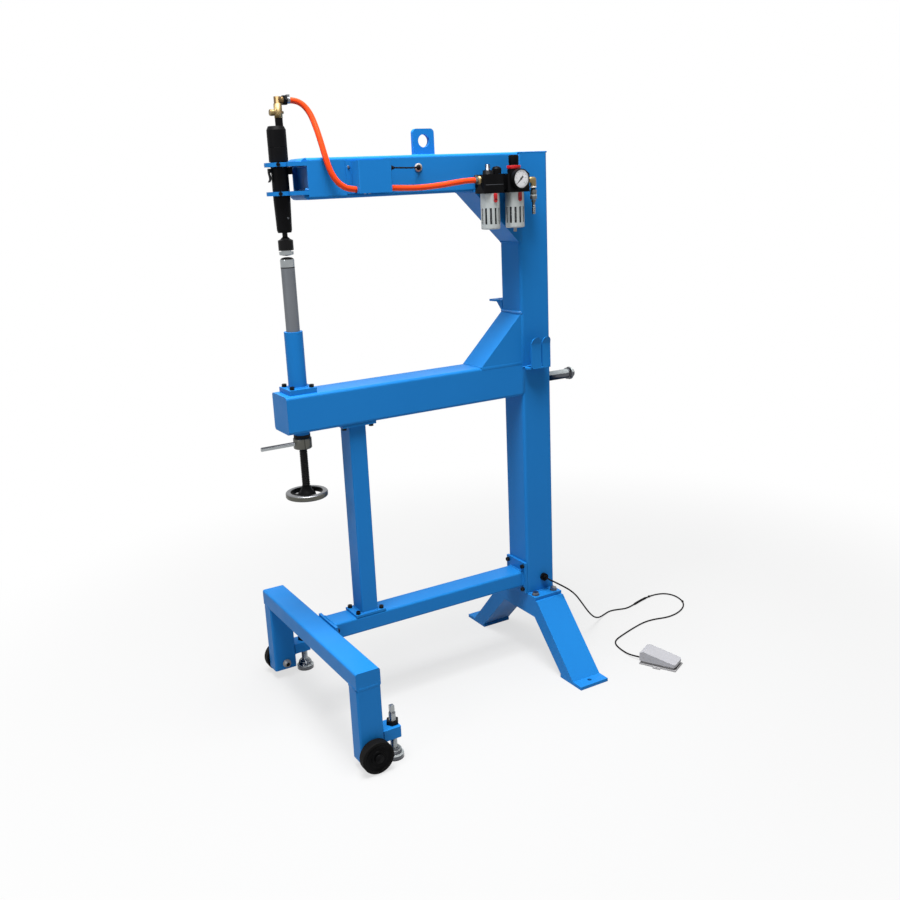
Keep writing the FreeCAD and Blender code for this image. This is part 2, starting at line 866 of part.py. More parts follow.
def zinc_fasteners():
    """Bolts of the column's foot, screws of the valve cover and the bands on the hose ends."""
    made = [hex_bolt(at, "base_bolt", "base_bolt_grip") for at in base_bolt_places()]
    for x, y, z in cover_screw_places():
        head = turned([("0", "0"), ("cover_screw", "0"), ("cover_screw * 0.7", "cover_screw * 0.6"),
                       ("0", "cover_screw * 0.7")], (x, y, z), "-y")
        made.append(joined(head, rod("cover_screw", (x, y, z), "cover_screw_grip", "y")))
    drop = f"{VALVE_X} + elbow_reach + nut_length + seat_gap"
    run = "-hose_end - clamp_band - seat_gap"
    for at in ((drop, "0", "elbow_axis"), (run, "-unit_y", "port_height")):
        outer = rod("hose + 2 * seat_gap + 2 * band_thick", at, "clamp_band", "x")
        x, y, z = at
        lug = box((x, f"{y} - clamp_band / 2", f"{z} + hose / 2 + seat_gap"),
                  (f"{x} + clamp_band", f"{y} + clamp_band / 2", f"{z} + hose / 2 + clamp_band * 0.7"))
        made.append(cut(joined(outer, lug), rod("hose + 2 * seat_gap", at, "clamp_band", "x")))
    return group(*made)


def anvil_tube():
    """The guide of the anvil post: a tube on a square flange."""
    side = "anvil_flange / 2"
    flange = box((f"{AXIS} - {side}", f"-{side}", "lower_beam_top"), (f"{AXIS} + {side}", side, FLANGE_TOP))
    guide = rod("anvil_tube", (AXIS, "0", FLANGE_TOP), f"anvil_tube_top - {FLANGE_TOP}")
    bore = rod(f"post + 2 * {FIT}", (AXIS, "0", "lower_beam_top - 1"),
               "anvil_tube_top - lower_beam_top + 2")
    return cut(joined(flange, guide), bore, *screw_holes(anvil_places(), "-z"))


def strut():
    """The upright under the lower beam, with a flange at each end."""
    x = "-strut_centre"
    foot = f"{BAR_TOP} + strut_flange_thick"
    head = f"{LOWER_UNDER} - strut_flange_thick"
    bar = hollow_bar((f"{x} - strut_width / 2", "-strut_depth / 2", foot),
                     (f"{x} + strut_width / 2", "strut_depth / 2", head), "z", "strut_wall", "strut_corner",
                     ("-1", "-1"))
    top = box((f"{x} - strut_flange / 2", "-strut_flange_depth / 2", head),
              (f"{x} + strut_flange / 2", "strut_flange_depth / 2", LOWER_UNDER))
    low = box((f"{x} - strut_foot / 2", "-strut_foot_depth / 2", BAR_TOP),
              (f"{x} + strut_foot / 2", "strut_foot_depth / 2", foot))
    holes = screw_holes(strut_top_places(), "z") + screw_holes(strut_foot_places(), "-z")
    return cut(joined(bar, top, low), *holes)


def tie_bar():
    """The bar from the column to the front crossbar, with a flange at each end."""
    rear = "(-tube / 2 - bar_flange)"
    front = f"({CROSSBAR_BACK} + bar_flange)"
    bar = hollow_bar((front, "-bar_width / 2", "bar_bottom"), (rear, "bar_width / 2", BAR_TOP), "x",
                     "bar_wall", "bar_corner", ("-1", "-1"))
    back = box((rear, "-bar_flange_width / 2", "bar_flange_low"),
               ("-tube / 2", "bar_flange_width / 2", "bar_flange_low + bar_flange_height"))
    nose = box((CROSSBAR_BACK, "-front_flange_width / 2", "crossbar_bottom"),
               (front, "front_flange_width / 2", BAR_TOP))
    holes = screw_holes(strut_foot_places(), "-z") + screw_holes(bar_rear_places(), "x")
    return cut(joined(bar, back, nose), *holes, *screw_holes(bar_front_places(), "-x"))


def front_crossbar():
    """The crossbar of the front portal, closed at both ends."""
    bar = hollow_bar(("-crossbar_front", "-crossbar_length / 2", "crossbar_bottom"),
                     (CROSSBAR_BACK, "crossbar_length / 2", CROSSBAR_TOP), "y", "bar_wall", "bar_corner",
                     ("bar_wall", "bar_wall"))
    return cut(bar, *screw_holes(bar_front_places(), "-x"))


def front_legs():
    """Two open legs under the crossbar, each with the lug of its jack."""
    legs = []
    for side in (-1, 1):
        near, far = (LEG_INNER, LEG_OUTER) if side == 1 else (f"-{LEG_OUTER}", f"-{LEG_INNER}")
        leg = hollow_bar(("-crossbar_front", near, "leg_bottom"), (CROSSBAR_BACK, far, "crossbar_bottom"),
                         "z",
                         "bar_wall", "bar_corner", ("-1", "-1"))
        lug = box((CROSSBAR_BACK, near, "lug_bottom"), (f"{CROSSBAR_BACK} + lug_reach", far, LUG_TOP))
        lug = rounded(lug, "lug_corner", outermost("x", f"{CROSSBAR_BACK} + lug_reach"))
        jack = rod(f"jack_screw + 2 * {FIT}", ("-jack_centre_x", f"({near} + {far}) / 2", "lug_bottom - 1"),
                   "lug_height + 2")
        axle = rod("axle + 2 * hole_gap", ("-wheel_centre_x", f"{near} - 1", WHEEL_Z), "leg_width + 2", "y")
        legs.append(cut(joined(leg, lug), jack, axle))
    return group(*legs)


def wheel_axles():
    """Two shouldered bolts through the legs, with a washer and a nut inside."""
    made = []
    for side, along in (("-1", "-y"), ("1", "y")):
        def at(reach):
            return ("-wheel_centre_x", f"{side} * ({reach})", WHEEL_Z)
        nut = f"{LEG_INNER} - axle_nut"
        head = f"{LEG_OUTER} + wheel_gap + wheel_width + seat_gap"
        shank = rod("axle", at(f"{nut} - 2"), f"{head} - ({nut}) + 2", along)
        made.append(joined(shank, prism("axle_nut_flats", at(nut), "axle_nut - axle_washer_thick", along),
                           rod("axle_washer", at(f"{LEG_INNER} - axle_washer_thick"), "axle_washer_thick",
                               along),
                           rod("axle_spacer", at(LEG_OUTER), "wheel_gap - seat_gap", along),
                           rod("axle_head", at(head), "axle_head_thick", along)))
    return group(*made)


def wheel(side, along):
    """A moulded wheel with a raised hub, a thin web and a rounded tread."""
    bore = f"axle / 2 + {FIT}"
    hub = "wheel_hub / 2"
    tread = "wheel / 2 - wheel_tread"
    rim = "wheel / 2"
    dish = "wheel_recess"
    width = "wheel_width"
    points = [(bore, "0"), (hub, "0"), (f"{hub} + 1", dish), (f"{tread} - 1", dish), (tread, "0"),
              (f"{rim} - wheel_edge", "0", "wheel_edge"), (rim, "wheel_edge"),
              (rim, f"{width} - wheel_edge", "wheel_edge"), (f"{rim} - wheel_edge", width), (tread, width),
              (f"{tread} - 1", f"{width} - {dish}"), (f"{hub} + 1", f"{width} - {dish}"), (hub, width),
              (bore, width)]
    return turned(points, ("-wheel_centre_x", f"{side} * ({LEG_OUTER} + wheel_gap)", WHEEL_Z), along)


def near_wheel():
    return wheel("-1", "-y")


def far_wheel():
    return wheel("1", "y")


def jack_place(side):
    return "-jack_centre_x", f"{side} * ({LEG_INNER} + {LEG_OUTER}) / 2"


def jack_screw(side):
    """A levelling screw with a square head for a spanner."""
    x, y = jack_place(side)
    foot = "pad_height - pad_socket + seat_gap"
    thread = rod("jack_screw", (x, y, foot), f"jack_shoulder_top - ({foot})")
    head = box((f"{x} - jack_square / 2", f"{y} - jack_square / 2", "jack_shoulder_top"),
               (f"{x} + jack_square / 2", f"{y} + jack_square / 2", "jack_top"))
    return joined(thread, head)


def jack_pad(side):
    """A swivel foot with a socket for the jack screw."""
    x, y = jack_place(side)
    socket = f"jack_screw / 2 + {FIT}"
    floor = "pad_height - pad_socket"
    return turned([("0", "0"), ("pad / 2", "0"), ("pad / 2", "pad_base"), ("pad_step / 2", "pad_base + 2"),
                   ("pad_step / 2", "pad_neck_low"), ("pad_neck / 2", "pad_neck_low"),
                   ("pad_neck / 2", "pad_height"), (socket, "pad_height"), (socket, floor), ("0", floor)],
                  (x, y, "0"))


def near_jack_screw():
    return jack_screw("-1")


def far_jack_screw():
    return jack_screw("1")


def near_jack_pad():
    return jack_pad("-1")


def far_jack_pad():
    return jack_pad("1")


def rear_base():
    """The arched rear foot: a cross beam, two sloping legs and two drilled foot plates."""
    under = "base_height - base_depth"
    leg_in = "(base_leg_out - base_leg_width)"
    wall = "base_wall"

    def arch(out, inner, top_half, top, under_half, low):
        half = [(inner, "foot_thick"), (out, "foot_thick"), (top_half, top)]
        right = half + [(f"-({x})", z) for x, z in reversed(half)]
        return right + [(f"-({under_half})", low), (under_half, low)]

    outer = plate(arch("base_leg_out", leg_in, "base_top_half", "base_height", "base_under_half", under),
                  "tube", ("-tube / 2", "0", "0"), "x")
    inner = plate(arch(f"base_leg_out - 1.36 * {wall}", f"{leg_in} + 1.38 * {wall}",
                       f"base_top_half - 0.44 * {wall}", f"base_height - {wall}",
                       f"base_under_half + 0.43 * {wall}", f"{under} + {wall}"),
                  f"tube - 2 * {wall}", (f"-tube / 2 + {wall}", "0", "0"), "x")
    feet = []
    holes = screw_holes(base_bolt_places(), "-z", "base_bolt", "base_bolt_grip")
    for side in (-1, 1):
        near, far = ("foot_inner", "foot_outer") if side == 1 else ("-foot_outer", "-foot_inner")
        feet.append(box(("-tube / 2", near, "0"), (HALF, far, "foot_thick")))
        holes.append(rod("floor_bolt_hole", ("0", f"{side} * floor_bolt_spacing / 2", "-1"),
                         "foot_thick + 2"))
    return cut(joined(cut(outer, inner), *feet), *holes)


def cord_gland():
    """The gland of the pedal cord: a nut with a tapered nose."""
    at = ("gland_x", "-tube / 2", "gland_z")
    x, y, z = at
    nose = (x, f"{y} - gland_reach", z)
    return joined(rod("gland", at, "gland_reach", "-y"),
                  cone("gland_nose + 4", "gland_nose", nose, "gland_nose_reach - gland_reach", "-y"),
                  rod("gland_thread", at, "tube_wall + 3", "y"))


def pedal_holder():
    """A shelf with two leaning fingers that hold the pedal when it is put away."""
    face = "(-tube / 2)"
    edge = f"({face} - holder_reach)"
    top = "(holder_shelf_z + holder_plate)"
    radius = "holder_reach / 2"
    shelf = plate([("-holder_left + holder_reach / 2", edge), ("holder_right", edge),
                   ("holder_right", face),
                   ("-holder_left + holder_reach / 2", face, radius),
                   ("-holder_left", f"{face} - {radius}", radius)],
                  "holder_plate", ("0", "0", "holder_shelf_z"))
    fingers = []
    for left, width in (("-finger_a_left", "finger_a_width"), ("-finger_b_left", "finger_b_width")):
        inner = f"{edge} + holder_plate"
        bend = f"{top} + finger_height"
        tip = f"{top} + finger_height + finger_hook"
        side = plate([(edge, top), (inner, top), (inner, bend), (f"{inner} + finger_lean", tip),
                      (f"{edge} + finger_lean", tip), (edge, bend)], width, (left, "0", "0"), "x")
        fingers.append(side)
    return joined(shelf, *fingers)


def die_rack():
    """A drilled plate on the column's far side that stores spare dies."""
    face = "tube / 2"
    out = "tube / 2 + rack_reach"
    top = plate([("-tube / 2", face), (HALF, face), (HALF, out), ("-tube / 2 - rack_wing", out)],
                "rack_thick", ("0", "0", "rack_height"))
    rib = plate([(face, "rack_height - rack_rib"), (f"{face} + rack_rib", "rack_height"),
                 (face, "rack_height")],
                "rack_thick", ("-tube / 2", "0", "0"), "x")
    holes = [rod("rack_hole", (f"-rack_hole_first + {step} * rack_hole_pitch", "tube / 2 + rack_reach / 2",
                               "rack_height - 1"), "rack_thick + 2") for step in range(3)]
    return cut(joined(top, rib), *holes)


def hose_peg():
    """A round peg with a flanged end on the column's back, for a coiled air line."""
    end = "peg_length"
    return turned([("0", "0"), ("peg / 2", "0"), ("peg / 2", f"{end} - peg_flange_thick"),
                   ("peg_flange / 2", f"{end} - peg_flange_thick"), ("peg_flange / 2", end),
                   ("peg / 2", end), ("peg / 2 - 2", f"{end} + peg_cap"), ("0", f"{end} + peg_cap")],
                  (HALF, "0", "peg_height"), "x")


def hammer_barrel():
    """The barrel: a tapered tube with the piston's bore, the ram's chamber, a lug and the exhaust block."""
    guide = f"ram_shank / 2 + {FIT}"
    chamber = f"ram_head / 2 + {FIT}"
    bore = f"piston / 2 + {FIT}"
    tube = turned([(guide, "barrel_bottom"), ("barrel_nose_face / 2", "barrel_bottom"),
                   ("barrel_tip_diameter / 2", "barrel_tip"), ("barrel / 2", "barrel_straight"),
                   ("barrel / 2", "barrel_top"), (bore, "barrel_top"), (bore, "piston_rest"),
                   (chamber, "piston_rest"), (chamber, "ram_chamber_floor"), (guide, "ram_chamber_floor")],
                  (AXIS, "0", "0"))
    surface = f"{AXIS} - barrel / 2"
    lug = box((f"{surface} - lever_lug", "-lever_lug_width / 2", "lever_top - lever_lug"),
              (f"{surface} + 2", "lever_lug_width / 2", "lever_top + lever_lug"))
    exhaust = box((f"{AXIS} + barrel / 2 - 2", "-exhaust_width / 2", "exhaust_low"),
                  (f"{AXIS} + exhaust_reach", "exhaust_width / 2", "exhaust_top"))
    pin = rod(f"lever_pin + 2 * {FIT}", (f"{surface} - lever_lug / 2", "-lever_width", "lever_top"),
              "2 * lever_width", "y")
    return cut(joined(tube, lug, exhaust), pin)


def hammer_casing():
    """The casing over the barrel's top, with a seam, a chamfer and the inlet stub off its centre."""
    half = "casing / 2"
    air = "air_passage / 2"
    shell = turned([(air, "barrel_top"), (half, "barrel_top"), (half, "casing_seam - casing_groove"),
                    (f"{half} - casing_groove", "casing_seam"), (half, "casing_seam + casing_groove"),
                    (half, "casing_shoulder"), ("casing_top_diameter / 2", "casing_top"),
                    (air, "casing_top")], (AXIS, "0", "0"))
    stub = rod("stub", (f"{AXIS} + stub_offset", "0", "casing_top - 1"), "stub_top - casing_top + 1")
    passage = rod("air_passage", (f"{AXIS} + stub_offset", "0", "casing_top - stub / 2"),
                  "stub_top - casing_top + stub")
    return cut(joined(shell, stub), passage)


def piston():
    """The loose piston that strikes the ram, with two grooves."""
    low = "(piston_rest + seat_gap)"
    radius = "piston / 2"
    points = [("0", low), (f"{radius} - piston_groove", low), (radius, f"{low} + piston_groove")]
    for place_up in ("0.35", "0.65"):
        middle = f"{low} + {place_up} * piston_length"
        points += [(radius, f"{middle} - piston_groove"),
                   (f"{radius} - piston_groove", f"{middle} - piston_groove"),
                   (f"{radius} - piston_groove", f"{middle} + piston_groove"),
                   (radius, f"{middle} + piston_groove")]
    points += [(radius, f"{low} + piston_length"), ("0", f"{low} + piston_length")]
    return turned(points, (AXIS, "0", "0"))


def die_holder():
    """The ram: a head inside the barrel, a shank and the holder with the die's socket."""
    head = "(ram_chamber_floor + seat_gap)"
    socket = f"die_shank / 2 + {FIT}"
    depth = "holder_bottom + die_shank_length + seat_gap"
    return turned([(socket, "holder_bottom"), ("holder / 2", "holder_bottom"), ("holder / 2", "holder_top"),
                   ("holder_neck / 2", "holder_top + 3"), ("ram_shank / 2", "ram_shank_bottom"),
                   ("ram_shank / 2", head), ("ram_head / 2", head),
                   ("ram_head / 2", f"{head} + ram_head_height"),
                   ("0", f"{head} + ram_head_height"), ("0", depth), (socket, depth)], (AXIS, "0", "0"))


def upper_die():
    """The flat-crowned die of the hammer, with its shank."""
    edge = "upper_die / 2 - 1.2"
    rise = "(upper_die_edge - upper_die_face)"
    crown = f"(({edge}) ^ 2 + {rise} ^ 2) / (2 * {rise})"
    shank = "holder_bottom + die_shank_length"
    return turned([("0", "upper_die_face", crown), (edge, "upper_die_edge"),
                   ("upper_die / 2", "upper_die_edge + 1.2"), ("upper_die / 2", "upper_die_top"),
                   ("holder_neck / 2", "upper_die_top"), ("holder_neck / 2", "holder_bottom"),
                   ("die_shank / 2", "holder_bottom"), ("die_shank / 2", shank), ("0", shank)],
                  (AXIS, "0", "0"))


def throttle_lever():
    """The throttle: a bent strip hinged on the barrel's lug by two ears and a pin."""
    surface = f"({AXIS} - barrel / 2)"
    upper = "(lever_lug + lever_clear)"
    tip = "(lever_close + lever_flare)"
    inner = [(upper, "lever_top + lever_lug"), (upper, "lever_top - lever_lug - lever_gap"),
             ("lever_close", "lever_top - lever_waist"), ("lever_close", "lever_top - lever_bend"),
             (tip, "lever_top - lever_drop")]
    outer = [(f"{away} + lever_thick", up) for away, up in reversed(inner)]
    strip = plate([(f"{surface} - ({away})", up) for away, up in inner + outer],
                  "lever_width", ("0", "lever_width / 2", "0"), "-y")
    ears = []
    for side in ("1", "-1"):
        near = f"lever_lug_width / 2 + {FIT}"
        lows, highs = (near, "lever_width / 2") if side == "1" else ("-lever_width / 2", f"-({near})")
        ears.append(box((f"{surface} - lever_lug - 2", lows, "lever_top - lever_lug - lever_gap"),
                        (f"{surface} - 1.5", highs, "lever_top + lever_lug - 1")))
    pin = rod("lever_pin", (f"{surface} - lever_lug / 2", "-lever_width / 2", "lever_top"), "lever_width",
              "y")
    return joined(strip, *ears, pin)


def inlet_valve():
    """The brass inlet: a throttling valve body, an elbow and the hose nut."""
    x = VALVE_X
    upright = rod("valve_body", (x, "0", "stub_top"), "valve_top - stub_top")
    boss = rod("valve_boss", (x, "0", "valve_axis"), "valve_boss_reach", "-x")
    bore = rod(f"valve_pin + 2 * {FIT}", (f"{x} - valve_boss_reach - 1", "0", "valve_axis"),
               "valve_pin_length + 2", "x")
    stem = rod("valve_stem", (x, "0", "valve_axis"), "valve_boss_reach + 2", "x")
    neck = rod("elbow", (x, "0", "valve_top"), "elbow_axis + elbow / 2 - valve_top")
    arm = rod("elbow", (x, "0", "elbow_axis"), "elbow_reach", "x")
    nut = prism("nut_flats", (f"{x} + elbow_reach", "0", "elbow_axis"), "nut_length", "x")
    return cut(joined(upright, boss, stem, neck, arm, nut), bore)


def valve_knob():
    """The small knob that sets the hammer's air, on a pin in the valve."""
    start = (f"{VALVE_X} - valve_boss_reach - knob_gap", "0", "valve_axis")
    grip = turned([("0", "0"), ("knob / 2 - 1", "0"), ("knob / 2", "1"), ("knob / 2", "knob_length - 1"),
                   ("knob / 2 - 1", "knob_length"), ("0", "knob_length")], start, "-x")
    return joined(grip, rod("valve_pin", start, "valve_pin_length", "x"))


POST_TOP = "(upper_die_face - die_gap - lower_die_height)"


def lower_die():
    """The domed anvil die, with its shank in the post."""
    top = "(upper_die_face - die_gap)"
    crown = "(lower_die ^ 2 / 4 + lower_die_crown ^ 2) / (2 * lower_die_crown)"
    return turned([("0", f"{POST_TOP} - die_shank_length"),
                   ("die_shank / 2", f"{POST_TOP} - die_shank_length"),
                   ("die_shank / 2", POST_TOP), ("lower_die / 2", POST_TOP),
                   ("lower_die / 2", f"{top} - lower_die_crown", crown), ("0", top)], (AXIS, "0", "0"))


def anvil_post():
    """The sliding post that carries the lower die and rests on the adjusting screw."""
    die = f"die_shank / 2 + {FIT}"
    floor = f"{POST_TOP} - die_shank_length - seat_gap"
    spigot = f"spigot / 2 + {FIT}"
    roof = "post_bottom + spigot_top_length + seat_gap"
    return turned([(spigot, "post_bottom"), ("post / 2", "post_bottom"),
                   ("post / 2", f"{POST_TOP} - post_seam"),
                   ("post / 2 - post_seam", POST_TOP), (die, POST_TOP), (die, floor), ("0", floor),
                   ("0", roof), (spigot, roof)], (AXIS, "0", "0"))


def anvil_screw():
    """The adjusting screw, with a spigot at each end."""
    shoulder = "(post_bottom - seat_gap)"
    low = "wheel_centre - handwheel_rim / 2 - 3"
    return turned([("0", low), ("spigot / 2", low), ("spigot / 2", "screw_shoulder"),
                   ("screw / 2", "screw_shoulder"),
                   ("screw / 2", shoulder), ("spigot / 2", shoulder),
                   ("spigot / 2", f"{shoulder} + spigot_top_length"),
                   ("0", f"{shoulder} + spigot_top_length")],
                  (AXIS, "0", "0"))


def handwheel():
    """The handwheel: a rounded rim, three flat spokes, a coned hub and its nut."""
    rim = "handwheel / 2"
    inner = "(handwheel / 2 - handwheel_rim)"
    low = "-handwheel_rim / 2"
    high = "handwheel_rim / 2"
    soft = "handwheel_soft"
    centre = (AXIS, "0", "wheel_centre")
    ring = turned([(f"{inner} + {soft}", low), (f"{rim} - {soft}", low, soft), (rim, f"{low} + {soft}"),
                   (rim, f"{high} - {soft}", soft), (f"{rim} - {soft}", high),
                   (f"{inner} + {soft}", high, soft),
                   (inner, f"{high} - {soft}"), (inner, f"{low} + {soft}", soft)], centre)
    bore = f"spigot / 2 + {FIT}"
    top = "(screw_shoulder - wheel_centre - seat_gap)"
    hub = turned([(bore, f"{top} - hub_height"), ("hub / 2", f"{top} - hub_height"),
                  ("hub / 2", f"{top} - hub_height + spoke_thick"), ("hub_top / 2", top), (bore, top)],
                  centre)
    spokes = []
    for spoke in range(3):
        spokes.append(spun_box(("hub / 2 - 3", "-spoke_width / 2", f"wheel_centre + {top} - hub_height"),
                               (f"{inner} + 4", "spoke_width / 2",
                                f"wheel_centre + {top} - hub_height + spoke_thick"),
                               (AXIS, "0"), f"{spoke} * 120 + spoke_angle"))
    return joined(ring, hub, *spokes)


def lock_ring():
    """The lock ring under the boss, with its lever rod."""
    high = f"({LOWER_UNDER} - boss_height - seat_gap)"
    low = f"({high} - lock_ring_height)"
    bore = f"screw / 2 + {FIT}"
    rim = "lock_ring / 2"
    ring = turned([(bore, low), (f"{rim} - 2", low), (rim, f"{low} + 2"), (rim, f"{high} - 2"),
                   (f"{rim} - 2", high),
                   (bore, high)], (AXIS, "0", "0"))
    lever = rod("lever_rod", (f"{AXIS} - lock_ring / 2 + 6", "0", f"{high} - lock_ring_height / 2"),
                "lever_rod_reach - lock_ring / 2 + 6", "-x")
    return joined(ring, lever)


def valve_cover():
    """A folded sheet box over the solenoid valve, open to the beam, with a screwed flange."""
    face = "(-tube / 2)"
    outer = box(("-cover_left", f"{face} - cover_depth", "cover_low"), ("-cover_right", face, "cover_high"))
    outer = rounded(outer, "cover_bend", outermost("y", f"{face} - cover_depth"))
    inner = box(("-cover_left + cover_wall", f"{face} - cover_depth + cover_wall",
                 "cover_low + cover_wall"),
                ("-cover_right - cover_wall", f"{face} + 1", "cover_high - cover_wall"))
    flange = box(("-cover_left - cover_flange", f"{face} - cover_wall", "cover_low"),
                 ("-cover_left", face, "cover_high"))
    left = rod("hose + 2", ("-cover_left - 1", "-drop_end_y", "hose_height"), "cover_wall + 2", "x")
    right = rod("hose + 2", ("-cover_right - cover_wall - 1", "-run_start_y", "hose_height"),
                "cover_wall + 2", "x")
    relief = rod("relief_neck + 2 * hole_gap", ("-cover_right - cover_wall - 1", "-relief_y",
                                                "relief_height"),
                 "cover_wall + 2", "x")
    return cut(joined(cut(outer, inner), flange), left, right, relief,
               *screw_holes(cover_screw_places(), "y", "cover_screw", "cover_screw_grip"))


def solenoid_valve():
    """The valve inside the cover: a block between the two hoses and its coil."""
    low = "(cover_low + cover_wall + seat_gap)"
    back = "(-tube / 2 - seat_gap)"
    block = box(("-valve_left", f"{back} - valve_block_depth", low),
                ("-valve_right", back, f"{low} + valve_block_height"))
    middle = "(-valve_left - valve_right) / 2"
    coil = box((f"{middle} - valve_coil / 2", f"{back} - valve_block_depth + 2",
                f"{low} + valve_block_height"),
               (f"{middle} + valve_coil / 2", f"{back} - 6",
                f"{low} + valve_block_height + valve_coil_height"))
    return joined(block, coil)


VALVE_CABLE = [(-458, -82, 1520), (-432, -81.5, 1519), (-406, -78, 1518.4), (-386, -71, 1518.6),
               (-374, -64, 1519), (-370, -56.8, 1519)]


def valve_cable():
    """The valve's cable, from its strain relief to a grommet in the beam."""
    face = "-cover_right"
    relief = joined(cone("relief_base", "cable + 2", (face, "-relief_y", "relief_height"),
                         "relief_length", "x"),
                    rod("relief_neck", (f"{face} - cover_wall - 1", "-relief_y", "relief_height"),
                        "cover_wall + 1", "x"))
    lip = rod("grommet", ("-grommet_x", "-tube / 2", "grommet_height"), "grommet_lip", "-y")
    nose = cone("grommet_neck", "cable + 3", ("-grommet_x", "-tube / 2 - grommet_lip", "grommet_height"),
                "grommet_lip", "-y")
    neck = rod("grommet_neck", ("-grommet_x", "-tube / 2", "grommet_height"), "tube_wall + 1", "y")
    return group(relief, tube_path("valve cable", VALVE_CABLE, number("cable")), joined(lip, nose, neck))


HOSE_DROP = [(-705.7, 0, 1691), (-684.5, 0, 1691), (-665, -5, 1681.5), (-651.5, -14, 1661),
             (-645.5, -28, 1631), (-642, -46, 1592), (-638, -63, 1545), (-628, -69, 1508),
             (-608, -72, 1482), (-580, -72, 1470), (-548.1, -72, 1470)]
HOSE_RUN = [(-488.9, -74, 1470.5), (-470, -74, 1470.5), (-430, -75, 1468), (-380, -77, 1467),
            (-320, -80, 1471), (-262, -84, 1478), (-235, -85, 1480), (-209.1, -85, 1480)]


def hose_drop():
    """The air hose from the valve to the hammer."""
    return tube_path("hose drop", HOSE_DROP, number("hose"))


def hose_run():
    """The air hose from the lubricator to the valve."""
    return tube_path("hose run", HOSE_RUN, number("hose"))


def unit_block(centre, width):
    """A cast head of the air unit, with rounded corners and a foot to the beam."""
    head = box((f"-({centre}) - {width} / 2", "-unit_y - unit_depth / 2", "unit_low"),
               (f"-({centre}) + {width} / 2", "-unit_y + unit_depth / 2", "unit_high"))
    head = rounded(head, "unit_corner", straight(ALONG["z"]))
    foot = box((f"-({centre}) - unit_mount / 2", "-unit_y + unit_depth / 2 - 1", "unit_low + 8"),
               (f"-({centre}) + unit_mount / 2", "-tube / 2", "unit_high - 8"))
    return joined(head, foot)


def lubricator_head():
    """The lubricator's head: its block, turret, filler plug and the brass outlet."""
    left = "-lubricator_x - lubricator_width / 2"
    turret = ("-lubricator_x - turret_offset", "-unit_y", "unit_high")
    x, y, z = turret
    plug = (f"{x} - 1", y, f"{z} + turret_height")
    outlet = rod("port_boss", (left, "-unit_y", "port_height"),
                 "hose_end - lubricator_x - lubricator_width / 2",
                 "-x")
    knob = rod(f"knob_pin + 2 * {FIT}", ("-lubricator_x + drip_offset", "-unit_y",
                                         "unit_high - knob_pin_length - 1"),
               "knob_pin_length + 2")
    return cut(joined(unit_block("lubricator_x", "lubricator_width"),
                      rod("turret", turret, "turret_height"),
                      rod("plug", plug, "plug_height"), outlet), knob)


def lubricator_knob():
    """The domed drip knob."""
    top = "drip_knob_height"
    half = "drip_knob / 2"
    start = ("-lubricator_x + drip_offset", "-unit_y", "unit_high + seat_gap")
    dome = turned([("0", "0"), (half, "0"), (half, f"{top} - {half} / 2"),
                   (f"{half} * 0.8", f"{top} - {half} / 5"),
                   (f"{half} * 0.45", top), ("0", top)], start)
    return joined(dome, rod("knob_pin", start, "knob_pin_length", "-z"))


def bowl_guard(centre):
    """A slotted metal guard under a head, round the clear cup inside it."""
    x = f"-{centre}"
    outer = rod("bowl", (x, "-unit_y", "bowl_low"), "unit_low - bowl_low")
    outer = rounded(outer, "bowl_corner", level_ring("bowl_low"))
    hollow = rod("bowl - 2 * bowl_wall", (x, "-unit_y", "bowl_low + bowl_wall"), "unit_low - bowl_low")
    slots = []
    for slot in range(int(number("bowl_slots"))):
        low = ("bowl / 2 - bowl_wall - 2", "-bowl_slot / 2", "bowl_low + bowl_slot_low")
        high = ("bowl / 2 + 2", "bowl_slot / 2", "bowl_low + bowl_slot_low + bowl_slot_height")
        slots.append(spun_box(low, high, (x, "-unit_y"), f"{slot} * 360 / bowl_slots"))
    return cut(outer, hollow, *slots)


def level_ring(expression):
    """Chooses the round edges at one height."""
    def chosen(edge):
        level = abs(edge.CenterOfMass.z - number(expression)) < 1e-4
        return level and edge.Curve.TypeId == "Part::GeomCircle"
    return chosen


def clear_cup(centre):
    """The cup inside a guard, hung from the head."""
    low = "bowl_low + bowl_wall + cup_gap"
    return rod("cup", (f"-{centre}", "-unit_y", low), f"unit_low - ({low})")


def lubricator_bowl():
    return group(bowl_guard("lubricator_x"), clear_cup("lubricator_x"))


def filter_bowl():
    """The filter's guard and cup, with the drain below."""
    drain = rod("drain", ("-regulator_x", "-unit_y", "bowl_low - drain_length"), "drain_length + 1")
    return group(joined(bowl_guard("regulator_x"), drain), clear_cup("regulator_x"))


def latch(centre):
    """A sliding latch with a round end on the front of a guard."""
    x = f"-{centre}"
    half = "latch_width / 2"
    top = "unit_low - latch_gap"
    low = f"(latch_low + {half})"
    face = "-unit_y - bowl / 2 - latch_gap"
    return plate([(f"{x} - {half}", low, half), (x, "latch_low", half), (f"{x} + {half}", low),
                  (f"{x} + {half}", top), (f"{x} - {half}", top)], "latch_thick", ("0", face, "0"), "-y")


def lubricator_latch():
    return latch("lubricator_x")


def filter_latch():
    return latch("regulator_x")


def regulator_body():
    """The filter regulator's head: block, bonnet, link to the lubricator and the inlet port."""
    left = "-regulator_x - regulator_width / 2"
    link = box(("-lubricator_x + lubricator_width / 2", "-unit_y - unit_mount / 2", "unit_low + 8"),
               (f"{left} + 1", "-unit_y + unit_mount / 2", "unit_high - 8"))
    bonnet = rod("bonnet", ("-regulator_x", "-unit_y", "unit_high"), "bonnet_height")
    pin = rod(f"knob_pin + 2 * {FIT}", ("-regulator_x", "-unit_y", "unit_high"), "bonnet_height + 1")
    return cut(joined(unit_block("regulator_x", "regulator_width"), link, bonnet), pin)


